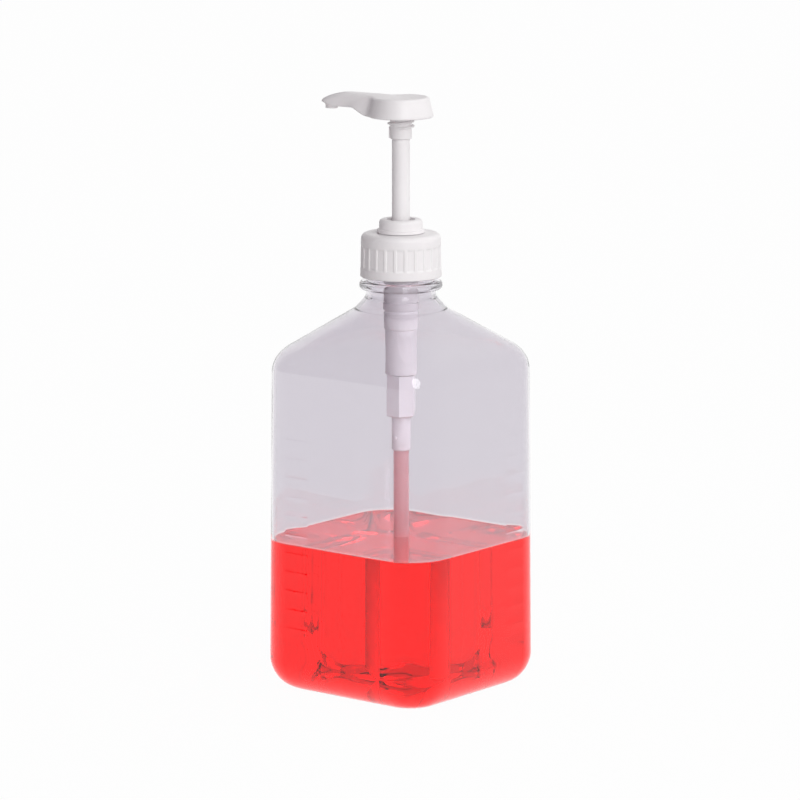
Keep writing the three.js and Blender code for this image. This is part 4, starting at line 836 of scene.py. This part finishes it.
def outline_reach(angle, level):
    """How far from the axis outline_distance equals level, found by bisection on whole arrays."""
    inside, outside = np.zeros_like(angle), np.full_like(angle, 2 * SPOUT_REACH)
    for _ in range(BISECTIONS):
        middle = (inside + outside) / 2
        below = outline_distance(middle * np.cos(angle), middle * np.sin(angle)) < level
        inside, outside = np.where(below, middle, inside), np.where(below, outside, middle)
    return inside


def head_top(x, y):
    """Height of the head's top: a dished pad, flowing into a spout that rises to a hump and then falls."""
    spread = np.minimum(np.hypot(x, y) / PAD_RADIUS, 1)
    pad = PAD_TOP_Z - PAD_DISH * (1 - spread ** 2)
    beyond = x > SPOUT_HUMP_X
    run = np.where(beyond, SPOUT_REACH - SPOUT_HUMP_X, SPOUT_HUMP_X - PAD_RADIUS)
    fall = np.where(beyond, SPOUT_DROP, SPOUT_SADDLE)
    crown = SPOUT_CROWN * np.minimum(np.abs(y) / SPOUT_ROOT_HALF, 1) ** 2
    spout = SPOUT_TOP_Z - fall * ((x - SPOUT_HUMP_X) / run) ** 2 - crown
    start, end = SPOUT_FLOW_SHARES
    flow = smoothstep(start * PAD_RADIUS, end * PAD_RADIUS, x)
    return pad * (1 - flow) + spout * flow


def head_under(x):
    return PAD_Z + (SPOUT_UNDER_Z - PAD_Z) * smoothstep(*SPOUT_UNDER_SPAN, x)


def head_columns():
    """Angles that lie closest together at the spout's tip: a share from -1 to 1, raised to HEAD_CROWDING."""
    share = 2 * (np.arange(HEAD_COLUMNS) + 1) / HEAD_COLUMNS - 1
    return math.pi * np.sign(share) * np.abs(share) ** HEAD_CROWDING


def pump_head():
    """Pad, spout and boss as one closed grid of rings, all worked out at the same angles.

    The rings run from the roof of the stem's socket down its wall, up the boss with its lock thread, out
    over the hollow's roof, down inside the skirt, out along the underside to the outline's edge, up the
    side, round the rim, and in over the top.
    """
    angle = head_columns()[None]
    edge_x = outline_reach(angle, 0) * np.cos(angle)
    on_spout = smoothstep(PAD_RADIUS, SPOUT_HUMP_X, edge_x)
    at_end = smoothstep(SPOUT_TIP_SHARE * SPOUT_REACH, SPOUT_REACH, edge_x)
    rim_round = PAD_ROUND + (SPOUT_ROUND - PAD_ROUND) * on_spout - (SPOUT_ROUND - SPOUT_TIP_ROUND) * at_end
    flare = PAD_FLARE * (1 - on_spout)

    def under_ring(extent, rise=0.0):
        """A ring on the underside, drawn back towards the spout's tip, which slants."""
        at_tip = smoothstep(SLANT_START_SHARE * SPOUT_REACH, SPOUT_REACH, extent * np.cos(angle))
        x = extent * np.cos(angle) - SPOUT_SLANT * at_tip
        return np.stack((x, extent * np.sin(angle), head_under(x) + rise), -1)

    def top_ring(offset, rise=0.0, share=1.0):
        """A ring on the top: the outline, set off by offset and then scaled by share."""
        extent = outline_reach(angle, offset) * share
        x, y = extent * np.cos(angle), extent * np.sin(angle)
        return np.stack((x, y, head_top(x, y) + rise), -1)

    skirt = PAD_RADIUS + PAD_FLARE - PAD_WALL
    lip = skirt + PAD_LIP
    roof = skirt - PAD_FLARE * (PAD_ROOF_Z - PAD_Z) / (PAD_TOP_Z - PAD_Z)
    thread_foot, roof_foot = BOSS_THREAD_Z - BOSS_THREAD_WIDTH, PAD_ROOF_Z - PAD_ROOF_ROUND
    boss = outline([
        (0, BOSS_SOCKET_Z), (BOSS_SOCKET_RADIUS, BOSS_SOCKET_Z), (BOSS_SOCKET_RADIUS, BOSS_Z, SMALL_ROUND),
        (BOSS_RADIUS, BOSS_Z, BOSS_ROUND), (BOSS_RADIUS, thread_foot),
    ])[1:]
    hollow = outline([
        (BOSS_RADIUS, roof_foot), (BOSS_RADIUS, PAD_ROOF_Z, EDGE_ROUND), (roof, PAD_ROOF_Z, PAD_ROOF_ROUND),
        (skirt, PAD_Z, EDGE_ROUND), (lip, PAD_Z),
    ])[1:]
    rings = [polar(radius, angle, z) for radius, z in boss]
    for z in np.arange(thread_foot, roof_foot, BOSS_THREAD_STEP):
        rise = thread_rise((angle + BOSS_THREAD_LEAD) % TURN, z, BOSS_THREAD_Z, BOSS_THREAD_WIDTH,
                           BOSS_PITCH, BOSS_TURNS)
        rings.append(polar(BOSS_RADIUS + BOSS_THREAD * rise, angle, z))
    rings += [polar(radius, angle, z) for radius, z in hollow]
    edge = outline_reach(angle, flare - PAD_SKIRT_ROUND)
    for share in np.linspace(0, 1, UNDER_RINGS)[1:-1] ** UNDER_CROWDING:
        rings.append(under_ring(lip + (edge - lip) * share))
    for turn in np.linspace(0, math.pi / 2, SKIRT_RINGS):
        extent = outline_reach(angle, flare - PAD_SKIRT_ROUND * (1 - math.sin(turn)))
        rings.append(under_ring(extent, PAD_SKIRT_ROUND * (1 - math.cos(turn))))
    low_edge, high_edge = rings[-1], top_ring(0.0, -rim_round)
    for share in np.linspace(0, 1, SIDE_RINGS)[1:-1]:
        rings.append(low_edge * (1 - share) + high_edge * share)
    for turn in np.linspace(0, math.pi / 2, RIM_RINGS):
        rings.append(top_ring(-rim_round * (1 - math.cos(turn)), -rim_round * (1 - math.sin(turn))))
    for share in np.linspace(1, 0, TOP_RINGS)[1:-1]:
        rings.append(top_ring(-rim_round, share=share))
    ribs = [spun(pad_rib(roof), TURN * (k + 0.5) / PAD_RIB_COUNT) for k in range(PAD_RIB_COUNT)]
    bodies = [closed_grid(np.concatenate(rings)), nozzle(), spun(lock_key(), LOCK_KEY_TURN), *ribs]
    return [spun(body, HEAD_TURN) for body in bodies]


def nozzle():
    low, high = SPOUT_UNDER_Z - NOZZLE_DROP, SPOUT_UNDER_Z + NOZZLE_ROOT
    points, quads, triangles = turned([
        (NOZZLE_BORE, high), (NOZZLE_BORE, low, FINE_ROUND),
        (NOZZLE_RADIUS, low, NOZZLE_ROUND), (NOZZLE_RADIUS, high),
    ], SMALL_COLUMNS, NOZZLE_STEP)
    return points + (NOZZLE_X, 0, 0), quads, triangles


def pad_rib(roof):
    """A thin upright plate under the pad: a rounded rectangle carried outwards from the boss."""
    low, high, half = PAD_ROOF_Z - PAD_RIB_DROP, PAD_ROOF_Z + PAD_ROOF_ROUND, PAD_RIB / 2
    section = outline([
        (0, high), (-half, high), (-half, low, EDGE_ROUND), (half, low, EDGE_ROUND), (half, high)])
    along = np.linspace(BOSS_RADIUS - RIB_ROOT, roof + RIB_ROOT, RIB_ROWS)[:, None]
    return closed_grid(np.stack(np.broadcast_arrays(along, section[:, 0], section[:, 1]), -1))


def lock_key():
    """A small upright ridge on the boss: a rounded rectangle carried up its side."""
    root, face, half = BOSS_RADIUS - RIB_ROOT, BOSS_RADIUS + LOCK_KEY_RISE, LOCK_KEY_WIDTH / 2
    section = outline([
        (root, 0), (root, -half), (face, -half, LOCK_KEY_ROUND), (face, half, LOCK_KEY_ROUND),
        (root, half), (root, 0)])[:-1]
    height = np.linspace(BOSS_Z + LOCK_KEY_START, BOSS_Z + LOCK_KEY_LENGTH, KEY_ROWS)[:, None]
    return closed_grid(np.stack(np.broadcast_arrays(section[:, 0], section[:, 1], height), -1))


def linear(colour):
    """A written sRGB hex colour as the linear RGBA that shaders take."""
    channels = [int(colour[i:i + 2], 16) / 255 for i in (1, 3, 5)]
    return tuple(c / 12.92 if c <= 0.04045 else ((c + 0.055) / 1.055) ** 2.4 for c in channels) + (1.0,)


def node(tree, kind, values=None, links=None, **settings):
    """Adds one node with its settings, its sockets' values and the links into its sockets."""
    made = tree.nodes.new("ShaderNode" + kind)
    for key, value in settings.items():
        setattr(made, key, value)
    for socket, value in (values or {}).items():
        made.inputs[socket].default_value = value
    for socket, source in (links or {}).items():
        tree.links.new(source, made.inputs[socket])
    return made


def own_place(tree):
    """Coordinates in the object's own frame."""
    return node(tree, "TexCoord").outputs["Object"]


def noise(tree, size, detail, place=None):
    """A smooth random share whose features have about that size."""
    return node(tree, "TexNoise", {"Scale": 1 / size, "Detail": detail},
                {"Vector": place or own_place(tree)}).outputs["Fac"]


def bumps(tree, height, strength, distance):
    return node(tree, "Bump", {"Strength": strength, "Distance": distance},
                {"Height": height}).outputs["Normal"]


def between(tree, share, low, high):
    """A value that goes from low to high as share goes from 0 to 1."""
    return node(tree, "MapRange", {"To Min": low, "To Max": high}, {"Value": share}).outputs["Result"]


def ramp(tree, value, start, end, kind="LINEAR"):
    """A share that goes from 0 to 1 as value goes from start to end."""
    return node(tree, "MapRange", {"From Min": start, "From Max": end}, {"Value": value},
                interpolation_type=kind).outputs["Result"]


def tones(tree, share, first, second):
    """A colour that goes from first to second as share goes from 0 to 1."""
    return node(tree, "Mix", {"A": linear(first), "B": linear(second)}, {"Factor": share},
                data_type="RGBA").outputs["Result"]


def maths(tree, operation, *terms):
    """The result of a maths node whose terms are numbers or outputs."""
    numbers = {i: term for i, term in enumerate(terms) if isinstance(term, float)}
    sources = {i: term for i, term in enumerate(terms) if i not in numbers}
    return node(tree, "Math", numbers, sources, operation=operation).outputs[0]


def blank_material(name):
    material = bpy.data.materials.new(name)
    material.use_nodes = True
    material.node_tree.nodes.clear()
    return material, material.node_tree


def finished(material, **shaders):
    """The material, its shaders linked to its output."""
    links = {socket: shader.outputs[0] for socket, shader in shaders.items()}
    node(material.node_tree, "OutputMaterial", links=links)
    return material


def blown_clear_polyester(name, colour, index):
    """Clear polyester, blown in a mould: smooth and glossy, with slow waves and a faint grey-lilac painted
    shade.

    The grey-lilac is painted shade that stands in for a dim backdrop seen through the wall, and it shows over
    the syrup alone. index is its refraction against what it touches: 1 under syrup.
    """
    material, tree = blank_material(name)
    height = node(tree, "SeparateXYZ", links={0: own_place(tree)}).outputs["Z"]
    # Painted shade: above the syrup the wall's colour turns grey-lilac, standing in for a dim backdrop seen
    # through it.
    painted_backdrop_shade = tones(tree, ramp(tree, height, SYRUP_Z, SYRUP_Z + PAINTED_SHADE_RAMP), "#FFFFFF", colour)
    waves = bumps(tree, noise(tree, 28 * MM, 1.0), 0.25, 0.4 * MM)
    shader = node(tree, "BsdfPrincipled", {"Roughness": 0.0, "IOR": index, "Transmission Weight": 1.0},
                  {"Base Color": painted_backdrop_shade, "Normal": waves})
    return finished(material, Surface=shader)


def fruit_syrup(name, index, clear):
    """Clear red syrup: it soaks up green and blue within a few millimetres, so a thin column looks pink.

    index is its refraction against what it touches: 1 where it wets plastic, which hardly bends light there.
    Its open surface has a thin bloom of bubbles, the part that isn't clear.
    """
    material, tree = blank_material(name)
    shader = node(tree, "BsdfPrincipled", {"Base Color": linear("#FFD8DC"), "Roughness": 0.0, "IOR": index,
                                           "Transmission Weight": clear})
    depth = node(tree, "VolumeAbsorption", {"Color": linear("#FF2A20"), "Density": 95.0})
    return finished(material, Surface=shader, Volume=depth)


def moulded_polypropylene(name, colour, roughness):
    """White polypropylene from a polished mould: a soft satin gloss, faint flow clouding and a fine grain."""
    material, tree = blank_material(name)
    cloud = noise(tree, 9 * MM, 3.0)
    tone = node(tree, "Mix", {"Factor": 1.0, "A": linear(colour)}, {"B": between(tree, cloud, 0.96, 1.02)},
                data_type="RGBA", blend_type="MULTIPLY").outputs["Result"]
    satin = between(tree, cloud, roughness - 0.05, roughness + 0.06)
    grain = bumps(tree, noise(tree, 0.5 * MM, 2.0), 0.15, 0.02 * MM)
    shader = node(tree, "BsdfPrincipled", {"IOR": 1.49},
                  {"Base Color": tone, "Roughness": satin, "Normal": grain})
    return finished(material, Surface=shader)


def extruded_polyethylene(name, roughness, index, clear):
    """Milky polyethylene tube, drawn through a die: translucent, with faint lines along its length.

    Syrup has tinted it a faint pink. index is its refraction against what it touches: 1 under syrup.
    """
    material, tree = blank_material(name)
    stretched = node(tree, "Mapping", {"Scale": (1.0, 1.0, 0.02)}, {"Vector": own_place(tree)})
    lines = noise(tree, 0.6 * MM, 2.0, stretched.outputs["Vector"])
    shader = node(tree, "BsdfPrincipled", {"Base Color": linear("#FFE0E3"), "Roughness": roughness,
                                           "IOR": index, "Transmission Weight": clear},
                  {"Normal": bumps(tree, lines, 0.2, 0.03 * MM)})
    return finished(material, Surface=shader)


def soft_seal_plastic():
    """Soft off-white polyethylene, moulded and matt, with a slight mottle from handling."""
    material, tree = blank_material("soft_moulded_seal")
    mottle = tones(tree, noise(tree, 3 * MM, 3.0), "#DEDEDB", "#E9E9E6")
    shader = node(tree, "BsdfPrincipled", {"Roughness": 0.6, "IOR": 1.51}, {"Base Color": mottle})
    return finished(material, Surface=shader)


def stainless_steel(name, low, high, grain):
    """Bright stainless steel: drawn wire has duller marks, and a ground ball is nearly a mirror."""
    material, tree = blank_material(name)
    marks = between(tree, noise(tree, grain, 3.0), low, high)
    shader = node(tree, "BsdfPrincipled", {"Base Color": linear("#C9CBCE"), "Metallic": 1.0},
                  {"Roughness": marks})
    return finished(material, Surface=shader)


def studio_floor():
    """A pale sheet of card, lifted to white in gloss and clear plastic, and nearly to the camera."""
    material, tree = blank_material("white_card")
    path = node(tree, "LightPath").outputs
    seen = maths(tree, "MULTIPLY", path["Is Camera Ray"], FLOOR_LIFT)
    mirrored = maths(tree, "MAXIMUM", path["Is Transmission Ray"], path["Is Glossy Ray"])
    card = node(tree, "BsdfDiffuse", {"Color": linear("#E6E6E6")})
    lift = node(tree, "Emission", {"Color": linear("#FFFFFF"), "Strength": 1.0})
    both = node(tree, "MixShader", links={
        0: maths(tree, "MAXIMUM", seen, mirrored), 1: card.outputs[0], 2: lift.outputs[0]})
    points = np.array(((-1, -1, 0), (1, -1, 0), (1, 1, 0), (-1, 1, 0))) * FLOOR_HALF_WIDTH
    mesh = bpy.data.meshes.new("studio_floor")
    mesh.from_pydata(points.tolist(), [], [(0, 1, 2, 3)])
    mesh.materials.append(finished(material, Surface=both))
    floor = placed("studio_floor", mesh)


def studio_world():
    """White to the camera, through clear plastic, and in gloss that mirrors what lies behind the bottle.

    As light it comes from the right and falls off to a dim mauve at the left. Light that reaches the pump
    through the bottle is raised by what the bottle's walls take away.
    """
    world = bpy.data.worlds.new("soft_studio")
    world.use_nodes = True
    scene.world = world
    tree = world.node_tree
    tree.nodes.clear()
    path = node(tree, "LightPath").outputs
    direction = node(tree, "TexCoord").outputs["Generated"]

    def facing(way, start, end):
        """A share of how nearly a ray goes that way, between two cosines."""
        cosine = node(tree, "VectorMath", {1: way}, {0: direction}, operation="DOT_PRODUCT")
        return ramp(tree, cosine.outputs["Value"], start, end, "SMOOTHSTEP")

    right, up, near = LIGHT_FROM
    bright = VIEW_RIGHT * right + Vector((0, 0, up)) - VIEW_AHEAD * near
    light = tones(tree, facing(bright.normalized(), *LIGHT_RAMP), SHADE_SIDE, BRIGHT_SIDE)
    through = maths(tree, "GREATER_THAN", path["Transmission Depth"], 0.5)
    level = between(tree, through, WORLD_LIGHT, WORLD_LIGHT * BOTTLE_LOSS)
    seen = maths(tree, "MAXIMUM", path["Is Camera Ray"], path["Is Transmission Ray"])
    white = maths(tree, "MAXIMUM", seen, facing(VIEW_AHEAD, *BACKDROP_RAMP))
    direct = maths(tree, "LESS_THAN", path["Diffuse Depth"], 0.5)
    lit = maths(tree, "SUBTRACT", 1.0, maths(tree, "MULTIPLY", white, direct))
    colour = node(tree, "Mix", {"A": linear("#FFFFFF")}, {"Factor": lit, "B": light}, data_type="RGBA")
    strength = node(tree, "Mix", {"A": 1.0}, {"Factor": lit, "B": level}, data_type="FLOAT")
    background = node(tree, "Background", links={
        "Color": colour.outputs["Result"], "Strength": strength.outputs["Result"]})
    node(tree, "OutputWorld", links={"Surface": background.outputs[0]})


def soft_lamp(name, place, target, width, height, power):
    """An oval area lamp, turned to face a target."""
    data = bpy.data.lights.new(name, "AREA")
    data.shape, data.size, data.size_y, data.energy = "ELLIPSE", width, height, power
    lamp = placed(name, data)
    lamp.location = place
    lamp.rotation_euler = (Vector(target) - Vector(place)).to_track_quat("-Z", "Y").to_euler()


def photographs_camera():
    data = bpy.data.cameras.new("photographs_view")
    data.lens, data.sensor_width = VIEW_LENS, VIEW_SENSOR_WIDTH
    data.shift_x, data.clip_end = VIEW_SHIFT, VIEW_CLIP_END
    camera = placed("photographs_view", data)
    camera.location = Vector((0, 0, VIEW_TARGET_Z)) - VIEW_AHEAD * VIEW_DISTANCE
    camera.rotation_euler = VIEW_AHEAD.to_track_quat("-Z", "Y").to_euler()
    scene.camera = camera


# The grey-lilac colour is painted shade for a dim backdrop seen through the bottle; under the syrup the wall
# stays white.
polyester = blown_clear_polyester("blown_clear_polyester", "#E7E4E9", index=1.5)
wetted_polyester = blown_clear_polyester("wetted_clear_polyester", "#FFFFFF", index=1.0)
syrup = fruit_syrup("clear_fruit_syrup", index=1.42, clear=0.82)
wetting_syrup = fruit_syrup("syrup_against_plastic", index=1.0, clear=1.0)
white = moulded_polypropylene("moulded_white_polypropylene", "#F7F4F5", roughness=0.38)
inner_white = moulded_polypropylene("plain_white_polypropylene", "#F1EFF1", roughness=0.42)
tube_plastic = extruded_polyethylene("extruded_milky_polyethylene", roughness=0.3, index=1.5, clear=0.5)
wetted_tube = extruded_polyethylene("wetted_milky_polyethylene", roughness=0.0, index=1.0, clear=0.93)
seal = soft_seal_plastic()
wire = stainless_steel("drawn_stainless_wire", low=0.18, high=0.32, grain=0.4 * MM)
ground = stainless_steel("ground_stainless_ball", low=0.05, high=0.1, grain=2 * MM)

piece("clear_bottle", "bottle_shell", [bottle_shell()], polyester,
      sharp=180, second=(wetted_polyester, wet_inside))
piece("red_syrup", "syrup", [syrup_body()], syrup, sharp=60, second=(wetting_syrup, against_plastic))
piece("grip_cap", "screw_cap", [screw_cap()], white)
piece("collar_ring", "lock_collar", [lock_collar()], white)
piece("cylinder_barrel", "pump_cylinder", [pump_cylinder()], inner_white)
piece("hexagonal_valve_body", "valve_body", [valve_body()], inner_white, sharp=25)
piece("fitting_with_pip", "tube_fitting", tube_fitting(), inner_white)
piece("milky_dip_tube", "dip_tube", [dip_tube()], tube_plastic,
      second=(wetted_tube, tube_bore))
piece("syrup_column", "syrup_in_dip_tube", [syrup_column()], wetting_syrup)
piece("stem_tube", "stem", [stem()], white)
piece("pad_and_spout", "pump_head", pump_head(), white, sharp=50)
spring = piece("coil_spring", "return_spring", [return_spring()], wire)
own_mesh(spring)

for finish, names in (
        (seal, ("neck_gasket", "stem_wiper", "valve_seal_ring", "piston_cup_seal", "outlet_valve_seat")),
        (inner_white, ("stem_guide", "inlet_ball_cage", "piston_core", "piston_guide_ring")),
        (ground, ("inlet_ball", "outlet_ball"))):
    for name in names:
        materials = frame["nodes"][name].data.materials
        materials.clear()
        materials.append(finish)

photographs_camera()
studio_floor()
studio_world()
soft_lamp("right_softbox", place=(1.53, -1.14, 1.09), target=(0, 0, 0.2), width=0.8, height=1.9, power=14.0)
scene.cycles.max_bounces, scene.cycles.transmission_bounces, scene.cycles.glossy_bounces = 40, 40, 12
scene.view_settings.view_transform = "Standard"
